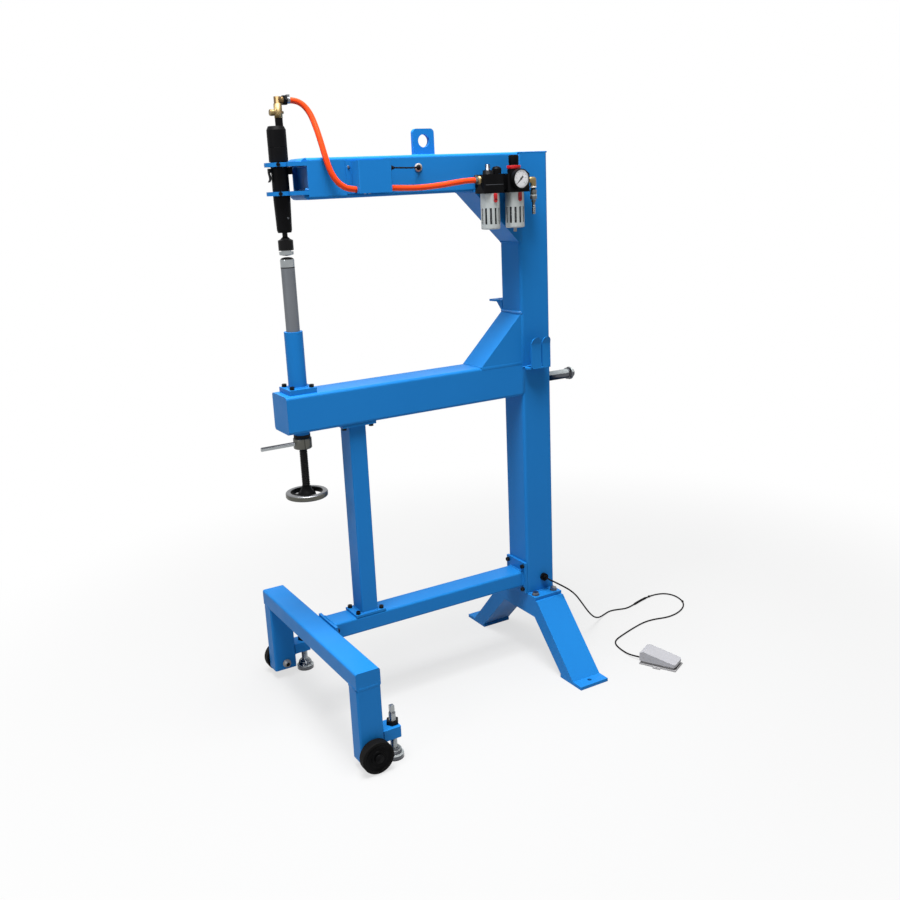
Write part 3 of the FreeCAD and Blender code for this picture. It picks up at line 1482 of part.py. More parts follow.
def regulator_knob():
    """The pressure knob with its ring, turning on the bonnet."""
    start = ("-regulator_x", "-unit_y", "unit_high + bonnet_height + seat_gap")
    ring = "ring_height - seat_gap"
    half = "dial_knob / 2"
    grip = turned([("0", "0"), ("ring / 2", "0"), ("ring / 2", ring), (half, ring),
                   (half, f"{ring} + dial_knob_height - 2"), (f"{half} - 2", f"{ring} + dial_knob_height"),
                   ("0", f"{ring} + dial_knob_height")], start)
    return joined(grip, rod("knob_pin", start, "knob_pin_length", "-z"))


def gauge_case():
    """The pressure gauge: a recessed case on its stem, with the needle's pin."""
    back = "(gauge_face_y - unit_y - unit_depth / 2)"
    face = "gauge / 2"
    dial = "gauge_dial / 2"
    floor = f"{back} - gauge_recess"
    return turned([("0", "0"), ("gauge_stem / 2", "0"), ("gauge_stem / 2", f"{back} - gauge_thick"),
                   (f"{face} - 2", f"{back} - gauge_thick"), (face, f"{back} - gauge_thick + 2"),
                   (face, f"{back} - 1"), (f"{face} - 1", back), (dial, back), (dial, floor),
                   ("needle_pin / 2", floor), ("needle_pin / 2", f"{back} - 1"), ("0", f"{back} - 1")],
                  ("-gauge_x", "-unit_y - unit_depth / 2", "gauge_height"), "-y")


def gauge_needle():
    """The needle, pointing at the low end of the scale."""
    y = "-gauge_face_y + gauge_recess - seat_gap"
    eye = rod("needle_eye", ("0", "0", "0"), "needle_thick")
    blade = plate([("-needle_tail", "-needle_width / 2"), ("needle_length", "-0.2"),
                   ("needle_length", "0.2"),
                   ("-needle_tail", "needle_width / 2")], "needle_thick")
    hole = rod(f"needle_pin + 2 * {FIT}", ("0", "0", "-1"), "needle_thick + 2")
    needle = cut(joined(eye, blade), hole)
    turn = Rotation(Vector(1, 0, 0), 90).multiply(Rotation(Vector(0, 0, 1), 180 + number("needle_rest")))
    return place(needle, ("-gauge_x", y, "gauge_height"), turn)


def inlet_elbow():
    """The brass inlet: an elbow and the core of the quick coupler."""
    start = ("-regulator_x + regulator_width / 2", "-unit_y", "inlet_height")
    reach = "regulator_x - regulator_width / 2 - inlet_x"
    end = ("-inlet_x", "-unit_y", "inlet_height")
    x, y, z = end
    shoulder = "coupler_top + coupler_travel + 1"
    arm = rod("inlet_elbow", start, reach, "x")
    knuckle = doc.addObject("Part::Sphere", "knuckle")
    knuckle.setExpression("Radius", bound("inlet_elbow / 2"))
    place(knuckle, end)
    drop = rod("inlet_elbow", (x, y, shoulder), f"inlet_height - ({shoulder})")
    core = rod("coupler_core", (x, y, "coupler_core_low"), "inlet_height - coupler_core_low")
    bore = rod(f"plug_stem + 2 * {FIT}", (x, y, "coupler_core_low - 1"), "plug_stem_length + 2")
    return cut(joined(arm, knuckle, drop, core), bore)


def coupler_sleeve():
    """The sliding sleeve that frees the plug."""
    bore = f"coupler_core / 2 + {FIT}"
    half = "coupler / 2"
    middle = "(coupler_low + coupler_top) / 2"
    return turned([(bore, "coupler_low"), (half, "coupler_low"), (half, f"{middle} - 3"),
                   (f"{half} - 1", f"{middle} - 2"),
                   (f"{half} - 1", f"{middle} + 2"), (half, f"{middle} + 3"), (half, "coupler_top"),
                   (bore, "coupler_top")], ("-inlet_x", "-unit_y", "0"))


def inlet_plug():
    """The plug of the air line: a stem in the coupler, a collar and a tail with barbs."""
    collar = "(coupler_core_low - seat_gap)"
    points = [("0", "nipple_low"), ("nipple / 2 - 1", "nipple_low")]
    for barb in range(3):
        low = f"nipple_low + {barb} * barb_pitch"
        points += [("barb / 2", f"{low} + barb_pitch - 1"), ("nipple / 2 - 1", f"{low} + barb_pitch")]
    points += [("nipple / 2 - 1", f"{collar} - 6"), ("coupler_core / 2", f"{collar} - 5"),
               ("coupler_core / 2", collar), ("plug_stem / 2", collar),
               ("plug_stem / 2", f"{collar} + plug_stem_length"), ("0", f"{collar} + plug_stem_length")]
    return turned(points, ("-inlet_x", "-unit_y", "0"))


def pedal_place(thing):
    """Turn a piece of the pedal from its own frame to where it lies."""
    return place(thing, ("pedal_x", "pedal_y", "0"), Rotation(Vector(0, 0, 1), number("pedal_turn")))


def pedal_base():
    """The pedal's floor plate with ears, rim, switch block and the cover's pin."""
    wall = "pedal_wall"
    inset = "(pedal_wall * 2 + seat_gap)"
    floor = box(("0", "0", "0"), ("pedal_length", "pedal_width", "pedal_flange"))
    ears = box(("pedal_length * 0.4", "-pedal_ear", "0"),
               ("pedal_length * 0.6", "pedal_width + pedal_ear", "pedal_flange"))
    rim = cut(box((inset, inset, "pedal_flange"),
                  (f"pedal_length - {inset} - pedal_corner / 3", f"pedal_width - {inset}", "pedal_rim")),
              box((f"{inset} + {wall}", f"{inset} + {wall}", "pedal_flange"),
                  (f"pedal_length - {inset} - pedal_corner / 3 - {wall}", f"pedal_width - {inset} - {wall}",
                   "pedal_rim + 1")))
    block = box(("pedal_length * 0.25", "pedal_width * 0.25", "pedal_flange - 1"),
                ("pedal_length * 0.5", "pedal_width * 0.75", "pedal_block"))
    posts = []
    for side in ("1", "-1"):
        near = f"pedal_width / 2 + {side} * (pedal_width / 2 - {inset} - 1.5) - 1.5"
        posts.append(box(("pedal_pin_from_back - 5", near, "pedal_flange - 1"),
                         ("pedal_pin_from_back + 5", f"{near} + 3", "pedal_pin_height + 4")))
    pin = rod("pedal_pin", ("pedal_pin_from_back", "pedal_wall - 1", "pedal_pin_height"),
              "pedal_width - 2 * pedal_wall + 2", "y")
    boss = rod("pedal_boss", ("-pedal_ear", "pedal_cord_side", "pedal_cord_height"),
               f"pedal_ear + {inset} + 1", "x")
    holes = [rod("pedal_ear_hole", ("pedal_length / 2", y, "-1"), "pedal_flange + 2")
             for y in ("-pedal_ear / 2", "pedal_width + pedal_ear / 2")]
    return pedal_place(cut(joined(floor, ears, rim, block, *posts, pin, boss), *holes))


def pedal_cover():
    """The treadle: a hollow wedge with cut toe corners, hinged on the pin."""
    def wedge(inset):
        low = "pedal_skirt" if inset == "0" else "pedal_skirt - 1"
        shape = plate([(f"1 + {inset}", low), (f"pedal_length - 2 - {inset}", low),
                       (f"pedal_length - 2 - {inset}", f"pedal_toe - {inset}"),
                       (f"pedal_crest + {inset}", f"pedal_back - {inset}"),
                       (f"1 + {inset}", f"pedal_back - pedal_back_drop - {inset}")],
                      f"pedal_width - 2 - 2 * {inset}", ("0", f"pedal_width - 1 - {inset}", "0"), "-y")
        return rounded(shape, f"pedal_corner - {inset}", outermost("x", f"pedal_length - 2 - {inset}"))
    pin = rod(f"pedal_pin + 2 * {FIT}", ("pedal_pin_from_back", "-1", "pedal_pin_height"),
              "pedal_width + 2", "y")
    notch = box(("-1", "pedal_cord_side - pedal_boss", "pedal_skirt - 2"),
                ("pedal_wall * 2", "pedal_cord_side + pedal_boss", "pedal_cord_height + pedal_boss"))
    return pedal_place(cut(wedge("0"), wedge("pedal_wall"), pin, notch))


PEDAL_CORD = [(9.8, -68.8, 262), (9.8, -84, 262), (21, -101, 255), (43, -112, 240), (75, -107, 216),
              (113, -86, 182), (154, -60, 138), (196, -35, 90), (236, -11, 50), (271, 12, 24), (303, 31, 9),
              (336, 48, 3.5), (371, 61, 3), (402, 54, 3), (433, 42, 3), (473, 50, 4.2), (510, 61, 4.5),
              (550, 70, 4.2), (592, 74, 3), (627, 62, 3), (644, 31, 3), (639, -13, 3), (617, -51, 3),
              (580, -78, 3), (536, -93, 3), (494, -94, 3), (452, -80, 3), (408, -77, 3), (348, -91, 3),
              (288, -109, 3), (245, -124, 3), (223, -147, 3), (214, -182, 3), (210, -220, 4),
              (208.5, -251.1, 10), (218.6, -271.1, 10)]


def pedal_cord():
    """The pedal's cord, from the gland along the floor to the pedal."""
    return tube_path("pedal cord", PEDAL_CORD, number("cord"))


def cord_ties():
    """The splice sleeve on the cord and two bands round it."""
    sleeve = tube_path("splice sleeve", [(478, 51.6, 4.3), (510, 61, 4.5), (545, 68.9, 4.3)],
                       number("sleeve"))
    bands = []
    for spot, ahead in (((561, 71.1, 4.4), (42, 4, 0)), ((629.6, -29, 4.4), (-22, -38, 0))):
        band = doc.addObject("Part::Feature", "band")
        band.Shape = Part.makeCylinder(number("sleeve") / 2, number("tie_width"), Vector(*spot),
                                       Vector(*ahead))
        bands.append(band)
    return group(sleeve, *bands)


PARTS = [column, top_beam, lower_beam, corner_gussets, lifting_eye, hammer_clamps, black_fasteners,
         zinc_fasteners, anvil_tube, strut, tie_bar, front_crossbar, front_legs, wheel_axles, near_wheel,
         far_wheel, near_jack_screw, far_jack_screw, near_jack_pad, far_jack_pad, rear_base, cord_gland,
         pedal_holder, die_rack, hose_peg, hammer_barrel, hammer_casing, piston, die_holder, upper_die,
         throttle_lever, inlet_valve, valve_knob, lower_die, anvil_post, anvil_screw, handwheel, lock_ring,
         valve_cover, solenoid_valve, valve_cable, hose_drop, hose_run, lubricator_head, lubricator_knob,
         lubricator_bowl, filter_bowl, lubricator_latch, filter_latch, regulator_body, regulator_knob,
         gauge_case, gauge_needle, inlet_elbow, coupler_sleeve, inlet_plug, pedal_base, pedal_cover,
         pedal_cord, cord_ties]

made = []
for make in PARTS:
    piece = make()
    piece.Label = make.__name__
    made.append(piece)
doc.recompute()

for thing in doc.Objects:
    if {"Invalid", "Error"} & set(thing.State):
        raise RuntimeError(f"{thing.Name} of {thing.Label} could not be built")
for piece in made:
    if piece.Shape.isNull() or not piece.Shape.isValid():
        raise RuntimeError(f"{piece.Label} is not a valid solid")

os.makedirs("parts", exist_ok=True)
for piece in made:
    piece.Shape.exportStep(f"parts/{piece.Label}.step")
print(f"{len(made)} sub-parts, {sum(len(piece.Shape.Solids) for piece in made)} solids")
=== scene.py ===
# %% [markdown]
# # A pneumatic planishing hammer, dressed for its portrait
#
# The machine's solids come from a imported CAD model. They are already the right size and in
# the right place, so this file never moves them. It gives them paint, plating and rubber, and
# adds what a CAD model leaves out: weld beads, screw threads, the gauge's dial and the ribs of
# its knobs. Z is up and the hammer lies towards -X. Blender works in metres, but sizes are
# typed in millimetres, as on a drawing, and the helpers turn them into metres.

import json
import math

import bmesh
import bpy
from mathutils import Matrix, Vector


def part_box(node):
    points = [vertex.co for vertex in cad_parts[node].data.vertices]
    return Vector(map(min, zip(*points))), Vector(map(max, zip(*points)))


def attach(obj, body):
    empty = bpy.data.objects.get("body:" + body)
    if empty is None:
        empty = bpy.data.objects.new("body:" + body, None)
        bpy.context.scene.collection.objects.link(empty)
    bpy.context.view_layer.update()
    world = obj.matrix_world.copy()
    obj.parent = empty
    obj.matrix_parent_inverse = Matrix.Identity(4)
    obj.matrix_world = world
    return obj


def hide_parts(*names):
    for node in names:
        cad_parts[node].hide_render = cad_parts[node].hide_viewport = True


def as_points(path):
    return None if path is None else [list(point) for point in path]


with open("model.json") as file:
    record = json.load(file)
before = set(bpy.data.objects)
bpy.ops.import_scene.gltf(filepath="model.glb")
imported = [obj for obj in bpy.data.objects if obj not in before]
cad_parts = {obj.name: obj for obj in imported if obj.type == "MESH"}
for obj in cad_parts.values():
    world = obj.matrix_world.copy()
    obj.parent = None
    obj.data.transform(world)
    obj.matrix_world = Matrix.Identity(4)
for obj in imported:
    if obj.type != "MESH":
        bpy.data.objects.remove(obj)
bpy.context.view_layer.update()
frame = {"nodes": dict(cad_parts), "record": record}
nodes = frame["nodes"]

# %% [markdown]
# ## The camera
#
# The camera was worked out from the machine's square tubes, whose width is a standard one.
# It stands close and looks a little down, which is why upright tubes lean in the picture. The
# camera and the cords come first.

# %% Place the camera
CAMERA_PLACE = (-1.68190, -2.41445, 1.47857)
CAMERA_TURN = (1.304343, 0.042697, -0.537264)
CAMERA_LENS = 39.287

view = bpy.data.cameras.new("portrait_lens")
view.lens = CAMERA_LENS
view.sensor_width = 36.0
view.clip_start = 0.05
camera = bpy.data.objects.new("portrait_camera", view)
camera.location = CAMERA_PLACE
camera.rotation_euler = CAMERA_TURN
bpy.context.scene.collection.objects.link(camera)
bpy.context.scene.camera = camera
print("lens:", view.lens, "mm")

# %% [markdown]
# ## Hoses and the pedal's cord
#
# A cord starts as a curve. Its points are the ones the CAD model follows, in the same order,
# and a NURBS spline of order 3 turns them into one smooth line. Typed points are better than a
# traced line here: ten or so of them already hang like a real hose. The curve is read twice,
# bare for its middle line, and with a round bevel for its tube.


# %% A tube along a smooth line
def cord_along(name, points, diameter):
    """A round cord and its middle line; the typed points are in millimetres."""
    curve = bpy.data.curves.new(name, "CURVE")
    curve.dimensions = "3D"
    curve.resolution_u = 12
    curve.bevel_resolution = 6
    curve.use_fill_caps = True
    spline = curve.splines.new("NURBS")
    spline.points.add(len(points) - 1)
    for point, place in zip(spline.points, points):
        point.co = (*metres(place), 1.0)
    spline.order_u = 3
    spline.use_endpoint_u = True
    holder = bpy.data.objects.new(name, curve)
    line = [tuple(corner.co) for corner in bpy.data.meshes.new_from_object(holder).vertices]
    curve.bevel_depth = diameter / 2000
    tube = bpy.data.meshes.new_from_object(holder)
    bpy.data.objects.remove(holder)
    tube.shade_smooth()
    cord = bpy.data.objects.new(name, tube)
    bpy.context.scene.collection.objects.link(cord)
    return cord, line


def metres(point):
    """A typed point in metres."""
    return tuple(value / 1000 for value in point)


# %% The two orange hoses
HOSE_DIAMETER = 15
HOSE_DROP = [(-705.7, 0, 1691), (-684.5, 0, 1691), (-665, -5, 1681.5), (-651.5, -14, 1661),
             (-645.5, -28, 1631), (-642, -46, 1592), (-638, -63, 1545), (-628, -69, 1508),
             (-608, -72, 1482), (-580, -72, 1470), (-548.1, -72, 1470)]
HOSE_RUN = [(-488.9, -74, 1470.5), (-470, -74, 1470.5), (-430, -75, 1468), (-380, -77, 1467),
            (-320, -80, 1471), (-262, -84, 1478), (-235, -85, 1480), (-209.1, -85, 1480)]

hose_drop, drop_line = cord_along("orange_hose_drop", HOSE_DROP, HOSE_DIAMETER)
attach(hose_drop, "root")
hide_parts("hose_drop")
metres(HOSE_DROP[0])
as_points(drop_line)

hose_run, run_line = cord_along("orange_hose_run", HOSE_RUN, HOSE_DIAMETER)
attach(hose_run, "root")
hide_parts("hose_run")
metres(HOSE_RUN[0])
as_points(run_line)
print("hoses:", len(HOSE_DROP), "and", len(HOSE_RUN), "points")

# %% The pedal's cord
CORD_DIAMETER = 5
PEDAL_CORD = [(9.8, -68.8, 262), (9.8, -84, 262), (21, -101, 255), (43, -112, 240), (75, -107, 216),
              (113, -86, 182), (154, -60, 138), (196, -35, 90), (236, -11, 50), (271, 12, 24), (303, 31, 9),
              (336, 48, 3.5), (371, 61, 3), (402, 54, 3), (433, 42, 3), (473, 50, 4.2), (510, 61, 4.5),
              (550, 70, 4.2), (592, 74, 3), (627, 62, 3), (644, 31, 3), (639, -13, 3), (617, -51, 3),
              (580, -78, 3), (536, -93, 3), (494, -94, 3), (452, -80, 3), (408, -77, 3), (348, -91, 3),
              (288, -109, 3), (245, -124, 3), (223, -147, 3), (214, -182, 3), (210, -220, 4),
              (208.5, -251.1, 10), (218.6, -271.1, 10)]

pedal_cord, pedal_line = cord_along("black_pedal_cord", PEDAL_CORD, CORD_DIAMETER)
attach(pedal_cord, "root")
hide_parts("pedal_cord")
metres(PEDAL_CORD[0])
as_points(pedal_line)
print("pedal cord:", len(PEDAL_CORD), "points")

# %% [markdown]
# ## Finishes
#
# Each finish is one material. The colour is never quite even on the real machine: enamel is
# thicker in one place than another, plating is cloudy, rubber is dusty. Two node groups make
# that variation, and each material sets how large and how strong it is. A few small helpers
# keep the trees short: they fill in fixed sockets, add nodes, make links and start a tree.


# %% Nodes and links in few words
def fill(node, values):
    """Sets sockets that nothing is linked to, by their name or number."""
    for socket, value in dict(values).items():
        node.inputs[socket].default_value = value


def node_of(tree, kind, values=(), **options):
    """A new node with its options and its fixed sockets."""
    node = tree.nodes.new(kind)
    for option, choice in options.items():
        setattr(node, option, choice)
    fill(node, values)
    return node


def join(tree, *rows):
    """Each row links a node's output to another node's input."""
    for source, output, target, socket in rows:
        tree.links.new(source.outputs[output], target.inputs[socket])


def maths(tree, operation, values=(), **options):
    """A Math node."""
    return node_of(tree, "ShaderNodeMath", values, operation=operation, **options)


# %% A new tree
KIND_OF_VALUE = {int: "Int", float: "Float", tuple: "Color"}


def new_tree(family, name, inputs, outputs):
    """An empty tree; each socket has a name, and a default value or just the name of its kind."""
    tree = bpy.data.node_groups.new(name, family)
    for direction, sockets in (("INPUT", inputs), ("OUTPUT", outputs)):
        for label, value in sockets.items():
            kind = KIND_OF_VALUE.get(type(value), value)
            socket = tree.interface.new_socket(name=label, in_out=direction,
                                               socket_type=f"NodeSocket{kind}")
            if kind != value:
                socket.default_value = value
    return tree, node_of(tree, "NodeGroupInput"), node_of(tree, "NodeGroupOutput")


# %% Colour in soft clouds
def cloudy_tone_group():
    """Mixes two colours in soft clouds."""
    group, start, end = new_tree(
        "ShaderNodeTree", "cloudy_tone",
        {"Vector": "Vector", "Colour": (0.5, 0.5, 0.5, 1), "Second Colour": (0.4, 0.4, 0.4, 1),
         "Scale": 6.0, "Contrast": 1.6},
        {"Colour": "Color"})
    clouds = node_of(group, "ShaderNodeTexNoise", {"Detail": 5.0, "Roughness": 0.62})
    centred = maths(group, "SUBTRACT", {1: 0.5})
    gain = maths(group, "MULTIPLY_ADD", {2: 0.5}, use_clamp=True)
    mix = node_of(group, "ShaderNodeMix", data_type="RGBA")
    join(group,
         (start, "Vector", clouds, "Vector"), (start, "Scale", clouds, "Scale"),
         (clouds, "Fac", centred, 0), (centred, 0, gain, 0), (start, "Contrast", gain, 1),
         (gain, 0, mix, 0), (start, "Colour", mix, 6), (start, "Second Colour", mix, 7),
         (mix, 2, end, "Colour"))
    return group


# %% Grain and roughness
def surface_grain_group():
    """Fine relief of a surface and the roughness that goes with it."""
    group, start, end = new_tree(
        "ShaderNodeTree", "surface_grain",
        {"Vector": "Vector", "Scale": 400.0, "Smooth": 0.3, "Rough": 0.45},
        {"Height": "Float", "Roughness": "Float"})
    grain = node_of(group, "ShaderNodeTexNoise", {"Detail": 3.0})
    smudges = node_of(group, "ShaderNodeTexNoise", {"Scale": 9.0, "Detail": 6.0, "Roughness": 0.7})
    spread = node_of(group, "ShaderNodeMapRange", {"From Min": 0.3, "From Max": 0.7})
    join(group,
         (start, "Vector", grain, "Vector"), (start, "Scale", grain, "Scale"),
         (start, "Vector", smudges, "Vector"), (smudges, "Fac", spread, "Value"),
         (start, "Smooth", spread, "To Min"), (start, "Rough", spread, "To Max"),
         (grain, "Fac", end, "Height"), (spread, "Result", end, "Roughness"))
    return group


CLOUDY_TONE = cloudy_tone_group()
SURFACE_GRAIN = surface_grain_group()
print("groups:", CLOUDY_TONE.name, SURFACE_GRAIN.name)

# %% [markdown]
# ## One recipe for every opaque finish
#
# A finish is a Principled shader with its fixed values set on its own sockets, the cloudy tone
# in its colour, and the grain in its roughness and its bump. The stretch makes the grain long
# in one direction, as on ground or drawn steel.


# %% The recipe
def new_material(name, colour):
    """A material, its node tree and its Principled shader."""
    material = bpy.data.materials.new(name)
    material.use_nodes = True
    material.diffuse_color = (*colour, 1)
    return material, material.node_tree, material.node_tree.nodes["Principled BSDF"]


def finish(name, colour, second, grain=400.0, relief=0.05, depth=0.0003, rough=(0.3, 0.45),
           clouds=6.0, contrast=1.6, metallic=0.0, coat=0.0, stretch=(1, 1, 1), specular=0.5):
    """A procedural material; the colours are linear."""
    material, tree, shader = new_material(name, colour)
    fill(shader, {"Metallic": metallic, "Coat Weight": coat, "Coat Roughness": 0.12,
                  "Specular IOR Level": specular})
    spot = node_of(tree, "ShaderNodeTexCoord")
    mapping = node_of(tree, "ShaderNodeMapping", {"Scale": stretch})
    tone = node_of(tree, "ShaderNodeGroup", node_tree=CLOUDY_TONE)
    fill(tone, {"Colour": (*colour, 1), "Second Colour": (*second, 1), "Scale": clouds,
                "Contrast": contrast})
    surface = node_of(tree, "ShaderNodeGroup", node_tree=SURFACE_GRAIN)
    fill(surface, {"Scale": grain, "Smooth": rough[0], "Rough": rough[1]})
    bump = node_of(tree, "ShaderNodeBump", {"Strength": relief, "Distance": depth})
    join(tree,
         (spot, "Object", tone, "Vector"), (spot, "Object", mapping, "Vector"),
         (mapping, "Vector", surface, "Vector"), (tone, "Colour", shader, "Base Color"),
         (surface, "Roughness", shader, "Roughness"), (surface, "Height", bump, "Height"),
         (bump, "Normal", shader, "Normal"))
    return material


# %% [markdown]
# ## The machine's own finishes
#
# The frame is sprayed with blue enamel, its screws are blackened or zinc plated, the post is
# ground steel and the hammer's valve is brass. One flat colour each would look like a toy, and a
# photographed surface would need a file beside this one. So each call gives a finish two near
# colours for its clouds, the size and strength of its grain, and a range of roughness. Metals
# are metallic, or nearly so, and their colour tints what they reflect. Paint, rubber and
# plastic are hardly metallic or not at all, and a low specular keeps the dull ones dull.

# %% Paint and metal
blue_enamel = finish("blue_enamel", (0.010, 0.158, 0.462), (0.012, 0.172, 0.488), grain=240, relief=0.12,
                     depth=0.0004, rough=(0.36, 0.48), clouds=3.0, contrast=2.0, specular=0.08)
black_paint = finish("black_enamel", (0.0022, 0.0022, 0.0026), (0.0045, 0.0045, 0.005), grain=900,
                     relief=0.25, depth=0.0004, rough=(0.36, 0.5), clouds=25, specular=0.05)
black_oxide = finish("black_oxide", (0.003, 0.003, 0.0035), (0.007, 0.007, 0.007), grain=700, relief=0.15,
                     rough=(0.34, 0.5), clouds=40, specular=0.1)
zinc_plate = finish("zinc_plate", (0.24, 0.245, 0.255), (0.14, 0.145, 0.155), grain=600, relief=0.08,
                    rough=(0.26, 0.42), clouds=60, metallic=1.0)
chrome_plate = finish("chrome_plate", (0.13, 0.135, 0.15), (0.07, 0.075, 0.085), grain=300, relief=0.03,
                      rough=(0.12, 0.24), clouds=20, metallic=1.0)
ground_steel = finish("ground_steel", (0.160, 0.172, 0.188), (0.135, 0.145, 0.160), grain=1.0, relief=0.22,
                      rough=(0.42, 0.52), clouds=14, metallic=0.85, stretch=(20, 20, 1600))
polished_steel = finish("polished_steel", (0.36, 0.38, 0.39), (0.28, 0.30, 0.31), grain=400, relief=0.04,
                        rough=(0.16, 0.28), clouds=30, metallic=1.0)
weld_enamel = finish("weld_enamel", (0.012, 0.165, 0.475), (0.014, 0.18, 0.50), grain=300, relief=0.1,
                     rough=(0.16, 0.26), clouds=8.0, coat=0.12, specular=0.2)
dull_rim = finish("dull_rim", (0.12, 0.12, 0.105), (0.08, 0.08, 0.07), grain=500, relief=0.08,
                  rough=(0.28, 0.42), clouds=40, metallic=0.9)
turned_brass = finish("turned_brass", (0.25, 0.185, 0.088), (0.18, 0.132, 0.058), grain=500, relief=0.1,
                      rough=(0.36, 0.5), clouds=50, metallic=0.9)
dull_brass = finish("dull_brass", (0.13, 0.082, 0.034), (0.08, 0.048, 0.02), grain=500, relief=0.15,
                    rough=(0.36, 0.52), clouds=70, metallic=0.9)
print("finishes of paint and metal:", CLOUDY_TONE.users)

# %% Rubber and plastic
tyre_rubber = finish("tyre_rubber", (0.003, 0.003, 0.003), (0.006, 0.0055, 0.0055), grain=800, relief=0.3,
                     rough=(0.55, 0.75), clouds=30, specular=0.06)
moulded_black = finish("moulded_black", (0.0022, 0.0022, 0.0025), (0.0045, 0.0045, 0.005), grain=1100,
                       relief=0.2, rough=(0.3, 0.45), clouds=30, specular=0.04)
cord_rubber = finish("cord_rubber", (0.006, 0.005, 0.006), (0.010, 0.009, 0.009), grain=900, relief=0.15,
                     rough=(0.5, 0.65), clouds=30, specular=0.03)
hose_orange = finish("hose_orange", (0.78, 0.056, 0.008), (0.70, 0.044, 0.006), grain=260, relief=0.06,
                     rough=(0.24, 0.36), clouds=14, specular=0.16)
guard_grey = finish("guard_grey", (0.40, 0.43, 0.43), (0.34, 0.365, 0.36), grain=700, relief=0.12,
                    rough=(0.34, 0.46), clouds=30, metallic=0.25)
latch_red = finish("latch_red", (0.42, 0.006, 0.008), (0.35, 0.005, 0.007), grain=900, relief=0.1,
                   rough=(0.25, 0.35), clouds=40, specular=0.35)
pedal_grey = finish("pedal_grey", (0.35, 0.35, 0.37), (0.31, 0.31, 0.33), grain=1300, relief=0.35,
                    depth=0.0004, rough=(0.42, 0.55), clouds=12, specular=0.3)
base_grey = finish("pedal_base_grey", (0.33, 0.325, 0.33), (0.28, 0.275, 0.28), grain=1300, relief=0.35,
                   depth=0.0004, rough=(0.45, 0.6), clouds=12, specular=0.3)
dial_white = finish("dial_white", (0.80, 0.80, 0.82), (0.76, 0.76, 0.78), grain=900, relief=0.03,
                    rough=(0.5, 0.6), clouds=20, specular=0.2)
grommet_grey = finish("grommet_grey", (0.33, 0.30, 0.28), (0.26, 0.24, 0.23), grain=900, relief=0.1,
                      rough=(0.4, 0.55), clouds=60, specular=0.3)
thread_tape = finish("thread_tape", (0.75, 0.74, 0.72), (0.66, 0.65, 0.62), grain=1500, relief=0.2,
                     rough=(0.5, 0.65), clouds=90, specular=0.3)
print("finishes with rubber and plastic:", CLOUDY_TONE.users)

# %% A finish for every CAD node
FINISH_OF_SLOT = {
    "blue_paint": blue_enamel, "black_paint": black_paint, "black_oxide": black_oxide,
    "zinc": zinc_plate, "chrome": chrome_plate, "ground_steel": ground_steel, "brass": turned_brass,
    "tyre": tyre_rubber, "black_plastic": moulded_black, "black_rubber": cord_rubber,
    "orange_hose": hose_orange, "guard_grey": guard_grey, "red_plastic": latch_red,
    "grey_plastic": pedal_grey}
FINISH_OF_NODE = {"pedal_base": base_grey, "upper_die": polished_steel, "coupler_sleeve": dull_rim,
                  "inlet_plug": dull_rim}


def paint(piece, material):
    """Gives a piece one material."""
    piece.data.materials.clear()
    piece.data.materials.append(material)


for row in frame["record"]["subparts"]:
    paint(nodes[row["node"]], FINISH_OF_NODE.get(row["node"], FINISH_OF_SLOT[row["material_slot"]]))
paint(hose_drop, hose_orange)
paint(hose_run, hose_orange)
paint(pedal_cord, cord_rubber)
print("slots:", len(FINISH_OF_SLOT), "nodes with a finish of their own:", len(FINISH_OF_NODE))

# %% [markdown]
# ## Clear plastic and glass
#
# The cups inside the guards are smoked plastic, and the gauge has a flat glass. Both let light
# through, so their colour stays on the shader's own sockets. Only a fine bump varies.


# %% Clear materials
def clear_finish(name, colour, transmission, rough, relief):
    """A see-through material with a faint unevenness."""
    material, tree, shader = new_material(name, colour)
    fill(shader, {"Base Color": (*colour, 1), "Roughness": rough, "Transmission Weight": transmission,
                  "IOR": 1.45})
    spot = node_of(tree, "ShaderNodeTexCoord")
    ripple = node_of(tree, "ShaderNodeTexNoise", {"Scale": 90.0})
    bump = node_of(tree, "ShaderNodeBump", {"Strength": relief, "Distance": 0.0003})
    join(tree, (spot, "Object", ripple, "Vector"), (ripple, "Fac", bump, "Height"),
         (bump, "Normal", shader, "Normal"))
    return material


smoked_cup = clear_finish("smoked_cup", (0.05, 0.055, 0.06), transmission=0.35, rough=0.12, relief=0.08)
dial_glass = clear_finish("dial_glass", (1.0, 1.0, 1.0), transmission=1.0, rough=0.02, relief=0.01)
print("clear:", smoked_cup.name, dial_glass.name)

# %% [markdown]
# ## Making a piece
#
# Most small pieces of this machine were turned on a lathe, so one helper spins a profile of
# radius and height round an axis. A second helper softens a block's edges, and a third covers
# a row of equal outlines with skin, for plates and wedges. All of them put the mesh straight
# at its place. Each finished piece rides on the body that carries it, and hides the CAD node
# it stands for, if any.


# %% From a form to its place
def turned_to(along):
    """The turn that carries Z to an axis."""
    return Vector((0, 0, 1)).rotation_difference(Vector(along)).to_matrix().to_4x4()


def placed(shape, at=(0, 0, 0), along=(0, 0, 1)):
    """A bmesh in millimetres along Z becomes a mesh in metres at its place, along its axis."""
    bmesh.ops.recalc_face_normals(shape, faces=shape.faces)
    shape.transform(Matrix.Scale(0.001, 4) @ Matrix.Translation(at) @ turned_to(along))
    mesh = bpy.data.meshes.new("form")
    shape.to_mesh(mesh)
    shape.free()
    return mesh


